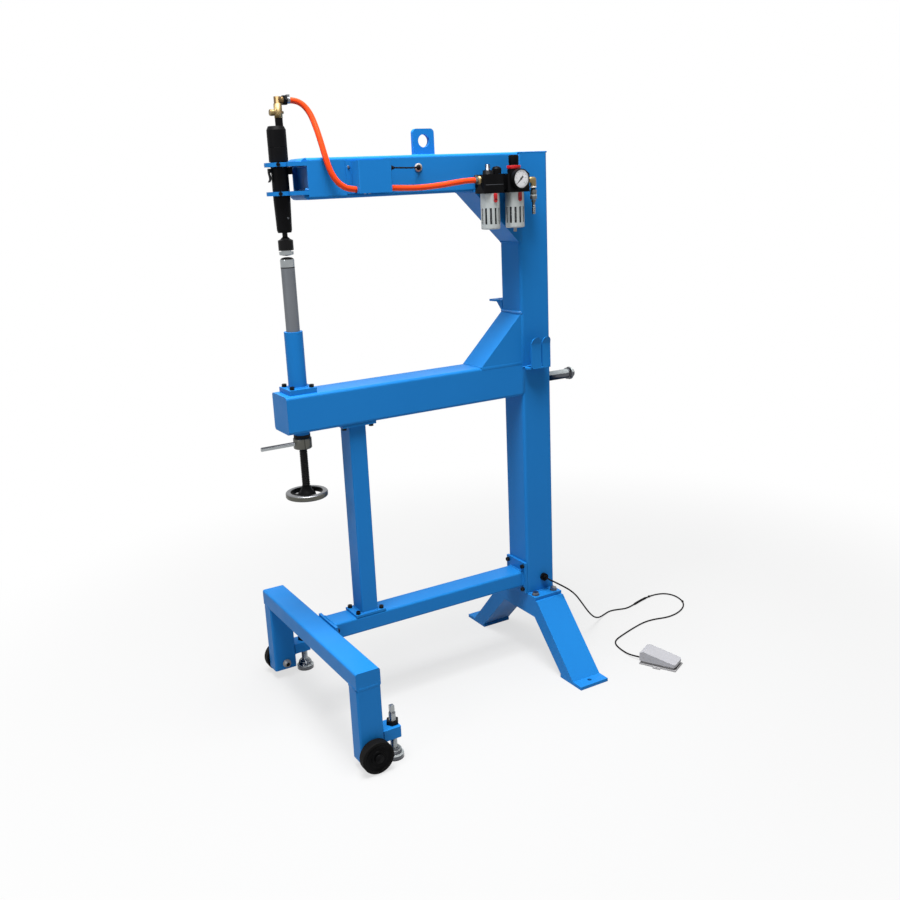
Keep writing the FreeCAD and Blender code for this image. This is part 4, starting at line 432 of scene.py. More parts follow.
# %% Turned forms
def lathe(profile, at=(0, 0, 0), along=(0, 0, 1), sides=48):
    """A turned form; its profile of (radius, height) runs from axis to axis, or round a ring."""
    shape = bmesh.new()
    rings = []
    for radius, height in profile:
        turns = [math.tau * step / sides for step in range(sides if radius > 0 else 1)]
        rings.append([shape.verts.new((radius * math.cos(turn), radius * math.sin(turn), height))
                      for turn in turns])
    pairs = list(zip(rings, rings[1:]))
    if profile[0][0] > 0:
        pairs.append((rings[-1], rings[0]))
    for low, high in pairs:
        for step in range(sides):
            corners = [low[step % len(low)], low[(step + 1) % len(low)],
                       high[(step + 1) % len(high)], high[step % len(high)]]
            corners = list(dict.fromkeys(corners))
            if len(corners) > 2:
                shape.faces.new(corners)
    return placed(shape, at, along)


# %% Blocks and skins
def block(size, at=(0, 0, 0), edge=0.3):
    """A block with softened edges, standing on its place."""
    shape = bmesh.new()
    bmesh.ops.create_cube(shape, size=1.0)
    for corner in shape.verts:
        corner.co = Vector((corner.co.x * size[0], corner.co.y * size[1], (corner.co.z + 0.5) * size[2]))
    bmesh.ops.bevel(shape, geom=shape.edges, offset=edge, segments=2, profile=0.5, affect="EDGES")
    return placed(shape, at)


def skin(outlines):
    """A closed form over outlines with the same number of points, each point (x, y, z)."""
    shape = bmesh.new()
    rings = [[shape.verts.new(point) for point in outline] for outline in outlines]
    shape.faces.new(rings[0][::-1])
    shape.faces.new(rings[-1])
    for low, high in zip(rings, rings[1:]):
        for a in range(len(low)):
            b = (a + 1) % len(low)
            shape.faces.new((low[a], low[b], high[b], high[a]))
    return placed(shape)


# %% From meshes to a piece
def whole(name, parts, slot, body="root", hides=(), soft=35):
    """One piece from several meshes, each with its own finish."""
    shape = bmesh.new()
    materials = []
    for mesh, material in parts:
        if material not in materials:
            materials.append(material)
        old = len(shape.faces)
        shape.from_mesh(mesh)
        shape.faces.ensure_lookup_table()
        for face in shape.faces[old:]:
            face.material_index = materials.index(material)
    mesh = bpy.data.meshes.new(name)
    shape.to_mesh(mesh)
    shape.free()
    settled(name, mesh, materials, slot, body, hides, soft)


def in_one_finish(name, meshes, material, slot, body="root", hides=(), soft=35):
    """One piece from several meshes that share a finish."""
    whole(name, [(mesh, material) for mesh in meshes], slot, body, hides, soft)


# %% A piece on its body
def settled(name, mesh, materials, slot, body, hides, soft):
    """A mesh becomes a piece: shaded, painted, tied to its body."""
    for material in materials:
        mesh.materials.append(material)
    mesh.shade_smooth()
    mesh.set_sharp_from_angle(angle=math.radians(soft))
    piece = bpy.data.objects.new(name, mesh)
    bpy.context.scene.collection.objects.link(piece)
    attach(piece, body)
    if hides:
        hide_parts(*hides)
    print(name, len(mesh.polygons), "faces")


# %% [markdown]
# ## One casting, several finishes
#
# Some CAD nodes are one solid in the model but several materials on the machine: the handwheel
# has a bright rim and a black hub, and the inlet is brass with a black nut. A merged copy of
# the node takes a finish for each face, chosen by where the face lies or which way it points,
# and stands for the node. The borders between finishes are heights, distances and radii. Where
# the way a face points picks the finish, as on the rim's top, the lock ring's rod, the jack pads
# and the hose peg, the paler and darker finishes are painted highlight and painted shade.


# %% A copy with a finish for each face
BODY_OF_NODE = {node: body for body, held in frame["record"]["behaviour"]["bodies"].items()
                for node in held}
SLOT_OF_NODE = {row["node"]: row["material_slot"] for row in frame["record"]["subparts"]}


def dressed(node, finishes, choose, soft=35):
    """A merged copy of a CAD node; choose(centre, normal) in millimetres picks the finish."""
    shape = bmesh.new()
    shape.from_mesh(nodes[node].data)
    bmesh.ops.remove_doubles(shape, verts=shape.verts, dist=0.000002)
    for face in shape.faces:
        face.material_index = choose(face.calc_center_median() * 1000, face.normal)
    mesh = bpy.data.meshes.new(node + "_dressed")
    shape.to_mesh(mesh)
    shape.free()
    settled(node + "_dressed", mesh, finishes, SLOT_OF_NODE[node], BODY_OF_NODE[node], [node], soft)


def middle(node):
    """The middle of a CAD node's box in millimetres, to a tenth."""
    low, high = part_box(node)
    return [round((a + b) * 500, 1) for a, b in zip(low, high)]


def off_axis(centre, x, y):
    """How far a point lies from an upright axis."""
    return math.hypot(centre.x - x, centre.y - y)


# %% Inlet valve, handwheel, axles and lock ring
HAMMER_X = middle("anvil_post")[0]
HOSE_NUT_X = HAMMER_X + 22.9
VALVE_CAP_Z = 1682.9
RIM_INSIDE = 41.5
AXLE_HEAD_Y = 352
AXLE_END_Y = min(abs(corner.co.y) for corner in nodes["wheel_axles"].data.vertices) * 1000
LOCK_RING_RADIUS = 24.95


def rim_finish(c, n):
    """Metal on the rim's outside and a paler metal on its top as a painted highlight, black on its inner
    wall and on all that it holds.
    """
    away = off_axis(c, HAMMER_X, 0)
    inward = (n.x * (c.x - HAMMER_X) + n.y * c.y) / max(away, 1)
    if away < RIM_INSIDE or inward < -0.5:
        return 1
    return 2 if n.z > 0.5 else 0


def lock_ring_finish(c, n):
    """A dull ring, and a rod whose sides get a paler finish as a painted highlight and whose top gets a
    darker one as painted shade.
    """
    if off_axis(c, HAMMER_X, 0) < LOCK_RING_RADIUS:
        return 0
    return 2 if -0.9 < n.z < 0.35 else 1


dressed("inlet_valve", [turned_brass, dull_brass, moulded_black],
        lambda c, n: 2 if c.x > HOSE_NUT_X else 1 if c.z > VALVE_CAP_Z else 0)
dressed("handwheel", [dull_rim, black_paint, zinc_plate], rim_finish)
dressed("wheel_axles", [zinc_plate, moulded_black],
        lambda c, n: 1 if abs(c.y) > AXLE_HEAD_Y or abs(c.y) < AXLE_END_Y + 0.2 else 0)
dressed("lock_ring", [dull_rim, chrome_plate, polished_steel], lock_ring_finish)

# %% The air unit's ports, the jack pads and the hose peg
NIPPLE_TOP_Z = 1452.95
HOSE_PORT_X, HEAD_TOP_Z = -201.6, 1505.1

dressed("inlet_elbow", [turned_brass, zinc_plate], lambda c, n: 1 if c.z < NIPPLE_TOP_Z else 0)
dressed("lubricator_head", [moulded_black, turned_brass, chrome_plate],
        lambda c, n: 1 if c.x < HOSE_PORT_X else 2 if c.z > HEAD_TOP_Z else 0, soft=14)
# On the jack pads and the hose peg, the pale grey on faces that point up is a painted highlight; the other
# faces are chrome.
for node in ("near_jack_pad", "far_jack_pad", "hose_peg"):
    dressed(node, [chrome_plate, guard_grey], lambda c, n: 1 if n.z > 0.3 else 0)

# %% The cups in their guards, the wheels and the valve's cable
LUBRICATOR_X = middle("lubricator_bowl")[0]
REGULATOR_X, UNIT_Y = middle("filter_bowl")[:2]
DRAIN_TOP_Z, CUP_FOOT_Z, CUP_RADIUS = 1347.9, 1351, 23.7
WHEEL_X, WHEEL_Z = middle("near_wheel")[::2]
HUB_RADIUS = 36.6
CABLE_HOLE_X, CABLE_HOLE_Z = -370, 1519


def guard_finish(centre_x):
    """The choice for one guard, its smoked cup and its pale drain."""
    def choose(c, n):
        """Told apart by their height and their distance from the axis."""
        if c.z < DRAIN_TOP_Z:
            return 2
        return 1 if off_axis(c, centre_x, UNIT_Y) < CUP_RADIUS and c.z > CUP_FOOT_Z else 0
    return choose


def grommet_finish(c, n):
    """A pale ring where the cable enters the beam."""
    away = math.hypot(c.x - CABLE_HOLE_X, c.z - CABLE_HOLE_Z)
    return 1 if 7.05 < away < 11 and -53.95 < c.y < -49 else 0


for node, centre_x in (("lubricator_bowl", LUBRICATOR_X), ("filter_bowl", REGULATOR_X)):
    dressed(node, [guard_grey, smoked_cup, grommet_grey], guard_finish(centre_x))
for node in ("near_wheel", "far_wheel"):
    dressed(node, [tyre_rubber, moulded_black],
            lambda c, n: 0 if math.hypot(c.x - WHEEL_X, c.z - WHEEL_Z) > HUB_RADIUS else 1)
dressed("valve_cable", [cord_rubber, grommet_grey], grommet_finish)

# %% [markdown]
# ## Latches
#
# Each guard is held by a small red latch with a round lower end. In the portrait it is shorter
# than the CAD piece, so a shorter one with softened edges stands for it.

# %% Two red latches
TO_FRONT = (0, -1, 0)
LATCH_FOOT_Z = 1424.7

for name in ("lubricator_latch", "filter_latch"):
    x, y = middle(name)[:2]
    tab = block((11, 3, 19), (x, y, LATCH_FOOT_Z), edge=0.7)
    tip = lathe([(0, 0), (5.5, 0), (5.5, 2.3), (4.9, 3), (0, 3)], (x, y + 1.5, LATCH_FOOT_Z), TO_FRONT, 32)
    in_one_finish(name + "_short", [tab, tip], latch_red, SLOT_OF_NODE[name], BODY_OF_NODE[name], [name])

# %% [markdown]
# ## Growing what repeats
#
# Ticks on a dial, ribs on a knob, the turns of a thread and the ripples of a weld all repeat by
# a rule. A Geometry Nodes tree states the rule once, with named inputs for its sizes. The
# result is turned into a plain mesh straight away, because only plain meshes are exported.


# %% Trees and their inputs
def shape_tree(name, sizes):
    """A geometry tree with a mesh in, a mesh out, named sizes and a finish."""
    return new_tree("GeometryNodeTree", name, {"Mesh": "Geometry", **sizes, "Finish": "Material"},
                    {"Mesh": "Geometry"})


def finish_tree(tree, start, end, last):
    """The end of every tree: real geometry with its material."""
    real = node_of(tree, "GeometryNodeRealizeInstances")
    coat = node_of(tree, "GeometryNodeSetMaterial")
    join(tree, (last, 0, real, "Geometry"), (real, "Geometry", coat, "Geometry"),
         (start, "Finish", coat, "Material"), (coat, "Geometry", end, "Mesh"))


# %% A plain mesh from a tree
def plain_mesh(holder):
    """The mesh of an object as Blender evaluates it; the object itself goes."""
    bpy.context.scene.collection.objects.link(holder)
    ready = holder.evaluated_get(bpy.context.evaluated_depsgraph_get())
    mesh = bpy.data.meshes.new_from_object(ready)
    holder.modifiers.clear()
    bpy.data.objects.remove(holder)
    return mesh


def grown(tree, base, finish_used, **sizes):
    """Runs a tree on a mesh and gives back the plain result."""
    sizes["Finish"] = finish_used
    holder = bpy.data.objects.new(tree.name, base)
    modifier = holder.modifiers.new(tree.name, "NODES")
    modifier.node_group = tree
    for socket in tree.interface.items_tree:
        label = socket.name.replace(" ", "_")
        if socket.item_type == "SOCKET" and socket.in_out == "INPUT" and label in sizes:
            modifier[socket.identifier] = sizes[label]
    return plain_mesh(holder)


# %% A ring of pieces
def ring_tree():
    """Repeats a piece round the Z axis; the piece lies on +X at its radius."""
    tree, start, end = shape_tree("ring_of_pieces", {"Count": 12, "First Angle": 0.0, "Step Angle": 0.5})
    spots = node_of(tree, "GeometryNodePoints")
    index = node_of(tree, "GeometryNodeInputIndex")
    angle = maths(tree, "MULTIPLY_ADD")
    turn = node_of(tree, "ShaderNodeCombineXYZ")
    rotation = node_of(tree, "FunctionNodeEulerToRotation")
    copies = node_of(tree, "GeometryNodeInstanceOnPoints")
    join(tree,
         (start, "Count", spots, "Count"), (index, 0, angle, 0), (start, "Step Angle", angle, 1),
         (start, "First Angle", angle, 2), (angle, 0, turn, "Z"), (turn, 0, rotation, 0),
         (spots, 0, copies, "Points"), (start, "Mesh", copies, "Instance"),
         (rotation, 0, copies, "Rotation"))
    finish_tree(tree, start, end, copies)
    return tree


RING_OF_PIECES = ring_tree()
print("tree:", RING_OF_PIECES.name, "with", len(RING_OF_PIECES.nodes), "nodes")


def ring(piece, count, finish_used, at, along=(0, 0, 1), first=0.0, step=None):
    """Equal pieces round an axis, all the way round unless a step is given."""
    mesh = grown(RING_OF_PIECES, piece, finish_used, Count=count, First_Angle=first,
                 Step_Angle=step or math.tau / count)
    mesh.transform(Matrix.Translation(metres(at)) @ turned_to(along))
    return mesh


# %% [markdown]
# ## Screws that really have threads
#
# A thread is what shows that a rod is a screw. Its tree starts from a cylinder with many rows
# and presses each point in by its height and its angle, so that the groove runs as a helix.
# The anvil's screw has a coarse thread of 5 mm and the two jack screws a finer one of 2.5 mm,
# the same pitches that the joints use. The crest is as wide as the CAD rod, so the thread still
# turns freely in its nut.


# %% A screw thread
def thread_tree():
    """A cylinder whose wall is pressed in along a helix."""
    tree, start, end = shape_tree("screw_thread", {"Radius": 0.01, "Length": 0.1, "Pitch": 0.003,
                                                   "Depth": 0.001, "Sides": 36, "Rows": 100})
    body = node_of(tree, "GeometryNodeMeshCylinder")
    spot = node_of(tree, "GeometryNodeInputPosition")
    split = node_of(tree, "ShaderNodeSeparateXYZ")
    angle = maths(tree, "ARCTAN2")
    turns = maths(tree, "DIVIDE", {1: math.tau})
    rise = maths(tree, "DIVIDE")
    phase = maths(tree, "SUBTRACT")
    part = maths(tree, "FRACT")
    centred = maths(tree, "SUBTRACT", {1: 0.5})
    size = maths(tree, "ABSOLUTE")
    groove = node_of(tree, "ShaderNodeMapRange",
                     {"From Min": 0.08, "From Max": 0.42, "To Min": 0.0, "To Max": -1.0})
    depth = maths(tree, "MULTIPLY")
    share = maths(tree, "DIVIDE")
    flat = node_of(tree, "ShaderNodeCombineXYZ")
    inward = node_of(tree, "ShaderNodeVectorMath", operation="SCALE")
    move = node_of(tree, "GeometryNodeSetPosition")
    join(tree,
         (start, "Sides", body, "Vertices"), (start, "Rows", body, "Side Segments"),
         (start, "Radius", body, "Radius"), (start, "Length", body, "Depth"),
         (spot, 0, split, 0), (split, "Y", angle, 0), (split, "X", angle, 1), (angle, 0, turns, 0),
         (split, "Z", rise, 0), (start, "Pitch", rise, 1), (rise, 0, phase, 0), (turns, 0, phase, 1),
         (phase, 0, part, 0), (part, 0, centred, 0), (centred, 0, size, 0), (size, 0, groove, "Value"),
         (groove, 0, depth, 0), (start, "Depth", depth, 1), (depth, 0, share, 0),
         (start, "Radius", share, 1), (split, "X", flat, "X"), (split, "Y", flat, "Y"),
         (flat, 0, inward, 0), (share, 0, inward, "Scale"),
         (body, "Mesh", move, "Geometry"), (inward, 0, move, "Offset"))
    finish_tree(tree, start, end, move)
    return tree


SCREW_THREAD = thread_tree()
print("tree:", SCREW_THREAD.name, "with", len(SCREW_THREAD.nodes), "nodes")

# %% A threaded rod
ROWS_PER_TURN = 8


def threaded(finish_used, x, y, low, high, radius, pitch, depth, sides=36):
    """A threaded rod between two heights, in millimetres."""
    mesh = grown(SCREW_THREAD, bpy.data.meshes.new("rod"), finish_used, Radius=radius / 1000,
                 Length=(high - low) / 1000, Pitch=pitch / 1000, Depth=depth / 1000, Sides=sides,
                 Rows=int((high - low) / pitch * ROWS_PER_TURN))
    mesh.transform(Matrix.Translation(metres((x, y, (low + high) / 2))))
    return mesh


# %% The anvil's screw
ON_HAMMER_AXIS = (HAMMER_X, 0, 0)

in_one_finish("anvil_screw_threaded", [
    threaded(black_oxide, HAMMER_X, 0, low=700.5, high=862, radius=11, pitch=5, depth=1.3),
    lathe([(0, 664.3), (7.2, 664.3), (8, 665.2), (8, 698), (9.6, 698), (9.7, 700.6), (0, 700.6)],
          ON_HAMMER_AXIS),
    lathe([(0, 861.9), (11, 861.9), (11, 1004.6), (8, 1004.7), (8, 1028.8), (7, 1029.6), (0, 1029.6)],
          ON_HAMMER_AXIS)], black_oxide, "black_oxide", "screw", ["anvil_screw"])

# %% The two jack screws
for side in ("near", "far"):
    x, y = middle(side + "_jack_screw")[:2]
    whole(side + "_jack_screw_threaded", [
        (threaded(polished_steel, x, y, low=14, high=131, radius=9.5, pitch=2.5, depth=0.8, sides=32),
         polished_steel),
        (lathe([(0, 12.4), (8, 12.4), (8.6, 14.2), (0, 14.2)], (x, y, 0)), zinc_plate),
        (lathe([(0, 130.8), (8.6, 130.8), (8.6, 132.4), (7.6, 134), (0, 134)], (x, y, 0)), zinc_plate),
        (block((12, 12, 19), (x, y, 133.9), edge=0.9), polished_steel)],
        "zinc", side + "_screw", [side + "_jack_screw"])

# %% [markdown]
# ## The pressure gauge
#
# The dial is a white disc with short and long marks and plain numbers, under a flat glass. The
# marks are two rings of small bars, set round three quarters of a turn. The numbers are text,
# turned into meshes first and then carried to their places.

# %% Marks and numbers
GAUGE = (middle("gauge_case")[0], -126.1, middle("gauge_case")[2])
START_OF_SCALE, SWEEP_OF_SCALE = math.radians(225), math.radians(-270)
MARK_END, MARK_HEIGHT = 21.2, 0.08
LARGEST_NUMBER, NUMBER_STEP = 10, 2


def on_dial(radius, angle, lift):
    """A place on the dial, seen with X to the right and Z up."""
    return (GAUGE[0] + radius * math.cos(angle), GAUGE[1] - lift, GAUGE[2] + radius * math.sin(angle))


def marks(steps, inner, width):
    """Marks round the scale; one more than its steps, so both ends have one."""
    corners = [(inner, -width / 2), (MARK_END, -width / 2), (MARK_END, width / 2), (inner, width / 2)]
    mark = skin([[(x, y, z) for x, y in corners] for z in (0, MARK_HEIGHT)])
    return ring(mark, steps + 1, cord_rubber, on_dial(0, 0, 0.1), TO_FRONT, START_OF_SCALE,
                SWEEP_OF_SCALE / steps)


def numeral(text, height, place):
    """A number on the dial, centred on its place."""
    letters = bpy.data.curves.new("numeral", "FONT")
    letters.body = text
    letters.size = height / 1000
    letters.extrude = 0.00004
    letters.align_x = "CENTER"
    letters.align_y = "CENTER"
    letters.resolution_u = 2
    mesh = plain_mesh(bpy.data.objects.new("numeral", letters))
    mesh.transform(Matrix.Translation(metres(place)) @ turned_to(TO_FRONT))
    return mesh


# %% The dial under its glass
dial_parts = [(lathe([(1.3, 0), (23.6, 0), (23.6, 0.15), (1.3, 0.15)], GAUGE, TO_FRONT), dial_white),
              (marks(50, 18.6, 0.32), cord_rubber), (marks(10, 17.4, 0.7), cord_rubber)]
for number in range(0, LARGEST_NUMBER + 1, NUMBER_STEP):
    angle = START_OF_SCALE + SWEEP_OF_SCALE * number / LARGEST_NUMBER
    dial_parts.append((numeral(str(number), 4.4, on_dial(13.6, angle, 0.14)), cord_rubber))
whole("gauge_dial", dial_parts, "black_plastic")
in_one_finish("gauge_glass", [lathe([(0, 3.1), (23.7, 3.1), (23.7, 3.6), (23.3, 3.8), (0, 3.8)],
                                    GAUGE, TO_FRONT, 64)], dial_glass, "black_plastic")

# %% A bolder needle, and a painted highlight along the lubricator's ridge
NEEDLE_LIFT = 0.5
NEEDLE_OUTLINE = [(-9, -2.6), (0, -2.0), (18, -0.5), (18, 0.5), (0, 2.0), (-9, 2.6)]

needle = skin([[(x, y, z) for x, y in NEEDLE_OUTLINE] for z in (-0.3, 0.3)])
needle.transform(Matrix.Translation(metres(on_dial(0, 0, NEEDLE_LIFT))) @ turned_to(TO_FRONT)
                 @ Matrix.Rotation(START_OF_SCALE, 4, "Z"))
needle_boss = lathe([(1.2, 0.2), (3.2, 0.2), (3.2, 0.8), (1.2, 0.8)], GAUGE, TO_FRONT, 32)
in_one_finish("gauge_needle_bold", [needle, needle_boss], cord_rubber, "black_plastic", "gauge_needle",
              ["gauge_needle"])
# A thin raised strip across the lubricator's front; its bright chrome is a painted highlight along a ridge
# of the black body.
in_one_finish("lubricator_groove", [block((58, 0.7, 1.2), (LUBRICATOR_X, -111, 1466), edge=0.2)],
              chrome_plate, "zinc")

# %% [markdown]
# ## The pressure knob
#
# The knob is a ribbed black grip on a red locking ring. The ribs are one small bar each, set
# round by the same ring tree, and the grip between them is slightly smaller than the CAD knob,
# so the ribs end where its surface was.

# %% Grip and ring
KNOB_FOOT = (REGULATOR_X, UNIT_Y, 1505.3)
grip_rib = block((1.6, 2.2, 21.5), (13.1, 0, 13.5), edge=0.5)
ring_rib = block((2.2, 2.6, 8.6), (18.2, 0, 1.1), edge=0.6)
whole("pressure_knob", [
    (lathe([(0, 0), (17.6, 0), (18.2, 0.8), (18.2, 9.9), (17.4, 10.7), (13.2, 10.7), (13.2, 36),
            (12.2, 37.6), (8.4, 37.7), (8, 37.2), (0, 37.2)], KNOB_FOOT), moulded_black),
    (lathe([(18.19, 0.8), (18.5, 1.6), (18.5, 9.2), (18.19, 9.9)], KNOB_FOOT), latch_red),
    (lathe([(13.4, 10.65), (17.3, 10.65), (18.3, 9.8), (18.3, 0.9), (17.6, -0.05), (13.4, -0.05)],
           KNOB_FOOT), latch_red),
    (ring(grip_rib, 26, moulded_black, KNOB_FOOT), moulded_black),
    (ring(ring_rib, 24, latch_red, KNOB_FOOT), latch_red),
    (lathe([(0, -7.9), (3, -7.9), (3, 0.2), (0, 0.2)], KNOB_FOOT), moulded_black)],
    "black_plastic", "regulator_knob", ["regulator_knob"])

# %% [markdown]
# ## The drip knob, the quick coupler and the plug
#
# The lubricator's drip knob has a milled edge. The quick coupler's sleeve has two bands of fine
# ribs with a pale band between them, so that a gloved hand can pull it back. The plug below has
# barbs that hold the hose, and a strip of thread tape shows above the coupler.

# %% Ribs, barbs and tape
DRIP_FOOT = (*middle("lubricator_knob")[:2], 1494.3)
COUPLER_X = middle("coupler_sleeve")[0]
ON_COUPLER_AXIS = (COUPLER_X, UNIT_Y, 0)
RIB_BANDS_Z = (1423, 1439.6)
BARBS_Z = (1383, 1388, 1393, 1398, 1403)

drip_rib = block((1.4, 1.7, 11), (12.1, 0, 0.8), edge=0.4)
in_one_finish("drip_knob_ribs", [ring(drip_rib, 30, moulded_black, DRIP_FOOT)], moulded_black,
              "black_plastic", "lubricator_knob")
coupler_rib = block((0.7, 0.7, 7.4), (9.25, 0, 0), edge=0.2)
in_one_finish("coupler_ribs", [ring(coupler_rib, 36, zinc_plate, (COUPLER_X, UNIT_Y, z))
                               for z in RIB_BANDS_Z], zinc_plate, "zinc", "coupler_sleeve")
in_one_finish("coupler_band", [lathe([(8.5, 1430.2), (9.9, 1430.6), (9.9, 1434), (8.5, 1434.4)],
                                     ON_COUPLER_AXIS)], guard_grey, "zinc", "coupler_sleeve")
in_one_finish("plug_barbs", [lathe([(3, z), (5.6, z + 0.2), (4.4, z + 3), (3, z + 3.2)],
                                   ON_COUPLER_AXIS, sides=32) for z in BARBS_Z],
              polished_steel, "zinc", "inlet_plug")
in_one_finish("thread_tape_band", [lathe([(8.3, 1453.1), (8.9, 1453.4), (8.95, 1456.4), (8.3, 1457)],
                                         ON_COUPLER_AXIS)], thread_tape, "brass")

# %% [markdown]
# ## Weld beads
#
# The frame is arc welded and then painted, so every joint has a rippled bead under the enamel.
# The beads follow typed lines along the joints. A tree turns each line into a curve and lays
# flattened balls along it, close enough to overlap, with sizes that vary a little from a fixed
# seed, as a welder's hand does.


# %% A bead along a line
def bead_tree():
    """Overlapping flattened balls along the edges of a mesh."""
    tree, start, end = shape_tree("weld_bead", {"Width": 0.006, "Spacing": 0.003, "Seed": 7})
    curve = node_of(tree, "GeometryNodeMeshToCurve")
    spots = node_of(tree, "GeometryNodeCurveToPoints", mode="LENGTH")
    ball = node_of(tree, "GeometryNodeMeshUVSphere", {"Segments": 8, "Rings": 5, "Radius": 1.0})
    vary = node_of(tree, "FunctionNodeRandomValue", {0: (0.40, 0.40, 0.40), 1: (0.54, 0.54, 0.50)},
                   data_type="FLOAT_VECTOR")
    size = node_of(tree, "ShaderNodeVectorMath", operation="SCALE")
    copies = node_of(tree, "GeometryNodeInstanceOnPoints")
    join(tree,
         (start, "Mesh", curve, "Mesh"), (curve, 0, spots, "Curve"), (start, "Spacing", spots, "Length"),
         (start, "Seed", vary, "Seed"), (vary, 0, size, 0), (start, "Width", size, "Scale"),
         (spots, "Points", copies, "Points"), (spots, "Rotation", copies, "Rotation"),
         (ball, "Mesh", copies, "Instance"), (size, 0, copies, "Scale"))
    finish_tree(tree, start, end, copies)
    return tree


BEAD = bead_tree()
print("tree:", BEAD.name, "with", len(BEAD.nodes), "nodes")

# %% Beads along several lines
BEAD_SPACING = 0.42
WELDER_SEED = 7


def beads(name, welds, width, finish_used):
    """One mesh of beads along several lines."""
    lines = bpy.data.meshes.new("weld_lines")
    corners, edges = [], []
    for line in welds:
        first = len(corners)
        corners += [metres(point) for point in line]
        edges += [(first + k, first + k + 1) for k in range(len(line) - 1)]
    lines.from_pydata(corners, edges, [])
    mesh = grown(BEAD, lines, finish_used, Width=width, Spacing=width * BEAD_SPACING, Seed=WELDER_SEED)
    in_one_finish(name, [mesh], finish_used, "blue_paint", soft=60)


# %% Lines to weld along
def loop(u_low, u_high, v_low, v_high, corner):
    """The outline of a tube's section, with cut corners."""
    return [(u_low + corner, v_low), (u_high - corner, v_low), (u_high, v_low + corner),
            (u_high, v_high - corner), (u_high - corner, v_high), (u_low + corner, v_high),
            (u_low, v_high - corner), (u_low, v_low + corner), (u_low + corner, v_low)]


def level(points, z):
    """An outline in X and Y, at a height."""
    return [(u, v, z) for u, v in points]


def upright(points, x):
    """An outline in Y and Z, at a place along the machine."""
    return [(x, u, v) for u, v in points]


def round_loop(radius, z):
    """A circle round the hammer's axis, at a height."""
    turns = [math.tau * step / 32 for step in range(33)]
    return [(HAMMER_X + radius * math.cos(turn), radius * math.sin(turn), z) for turn in turns]


def across(x, half, z):
    """A straight line from side to side."""
    return [(x, -half, z), (x, half, z)]


def lengthwise(x_low, x_high, y, z):
    """A straight line along the machine."""
    return [(x_low, y, z), (x_high, y, z)]


# %% Every weld in sight
COLUMN_HALF = 50.8
TOP_BEAM_Z = (1449.9, 1551.5)
LOWER_BEAM_Z = (856, 957.6)
COLUMN_LOOP = loop(-COLUMN_HALF, COLUMN_HALF, -COLUMN_HALF, COLUMN_HALF, 6)
STRUT_LOOP = loop(-612.8, -562.8, -31.5, 31.5, 4)
EYE_LOOP = loop(-356.3, -291.8, -6, 6, 1)
TIE_BAR_LOOP = loop(-37.5, 37.5, 241, 289, 5)

WELDS = [level(COLUMN_LOOP, 217), level(STRUT_LOOP, 849), level(STRUT_LOOP, 296),
         level(EYE_LOOP, TOP_BEAM_Z[1]), upright(TIE_BAR_LOOP, -58.8), upright(TIE_BAR_LOOP, -703),
         round_loop(24.5, 971.6), round_loop(22, LOWER_BEAM_Z[0]),
         across(-197.8, 48, TOP_BEAM_Z[0]), across(-COLUMN_HALF, 46, 1302.9),
         across(-193.8, 46, LOWER_BEAM_Z[1]), across(-COLUMN_HALF, 48, 1100.6),
         across(-COLUMN_HALF, 44, LOWER_BEAM_Z[0]),
         lengthwise(-48, 26, -COLUMN_HALF, 942), lengthwise(-46, 46, COLUMN_HALF, 1132)]
WELDS += [[(-711, side * 330, z), (-711, side * 284, z)] for side in (-1, 1) for z in (68, 99)]
WELDS += [lengthwise(-775, -717, side * 281, 235) for side in (-1, 1)]
WELDS += [lengthwise(-46, 46, side * 229, 10) for side in (-1, 1)]

CLAMP_WELDS = [across(-685, 43, 1545), across(-685, 43, 1459), lengthwise(-690, -674, -46, 1474.5),
               across(-674, 43, 1474), across(-674, 43, 1532)]

beads("weld_beads", WELDS, 0.0062, blue_enamel)
beads("clamp_welds", CLAMP_WELDS, 0.0085, weld_enamel)
beads("wide_welds", [across(-COLUMN_HALF, 47, 1101)], 0.012, weld_enamel)

# %% [markdown]
# ## Joints ground flush
#
# Where two walls of the frame lie in one plane, the welder fills the seam and grinds it, and
# the enamel hides it. Thin slabs do the same here. Each stands 0.15 mm proud of the tubes,
# because two faces in exactly the same plane fight over which one is seen. The column also
# gets its plate on top, and the hammer's clamp plates get their rounded fillings.


# %% Flush joints and the column's cap
PROUD = 0.15
FLUSH_JOINTS = {
    "lower gusset on its beam": (-192, -52.3, 949, 958.8),
    "lower beam and gusset on the column": (-52.2, -42.6, 864, 1097),
    "upper gusset on its beam": (-196, -52.3, 1448.7, 1458),
    "upper gusset and beam on the column": (-52.2, -42.6, 1304, 1543.5)}


def slab(low, high, edge=0.1):
    """A box between two corners."""
    foot = ((low[0] + high[0]) / 2, (low[1] + high[1]) / 2, low[2])
    return block([b - a for a, b in zip(low, high)], foot, edge)


def wall(x_low, x_high, side, y_in, y_out, z_low, z_high):
    """A slab at one side of the machine, between two distances from its middle."""
    near, far = sorted((side * y_in, side * y_out))
    return slab((x_low, near, z_low), (x_high, far, z_high))


flush = []
for side in (-1, 1):
    for x_low, x_high, z_low, z_high in FLUSH_JOINTS.values():
        flush.append(wall(x_low, x_high, side, 49.5, COLUMN_HALF + PROUD, z_low, z_high))
    flush.append(wall(-773, -719, side, 325, 333 + PROUD, 233.8, 243.4))
    flush.append(wall(-781 - PROUD, -775, side, 283, 325, 233.8, 243.4))
in_one_finish("flush_joints", flush, blue_enamel, "blue_paint")
cap_half, cap_top = COLUMN_HALF + 0.3, TOP_BEAM_Z[1] + 0.4
in_one_finish("column_cap", [slab((-cap_half, -cap_half, cap_top - 4.4), (cap_half, cap_half, cap_top),
                                  edge=1.8)], blue_enamel, "blue_paint")

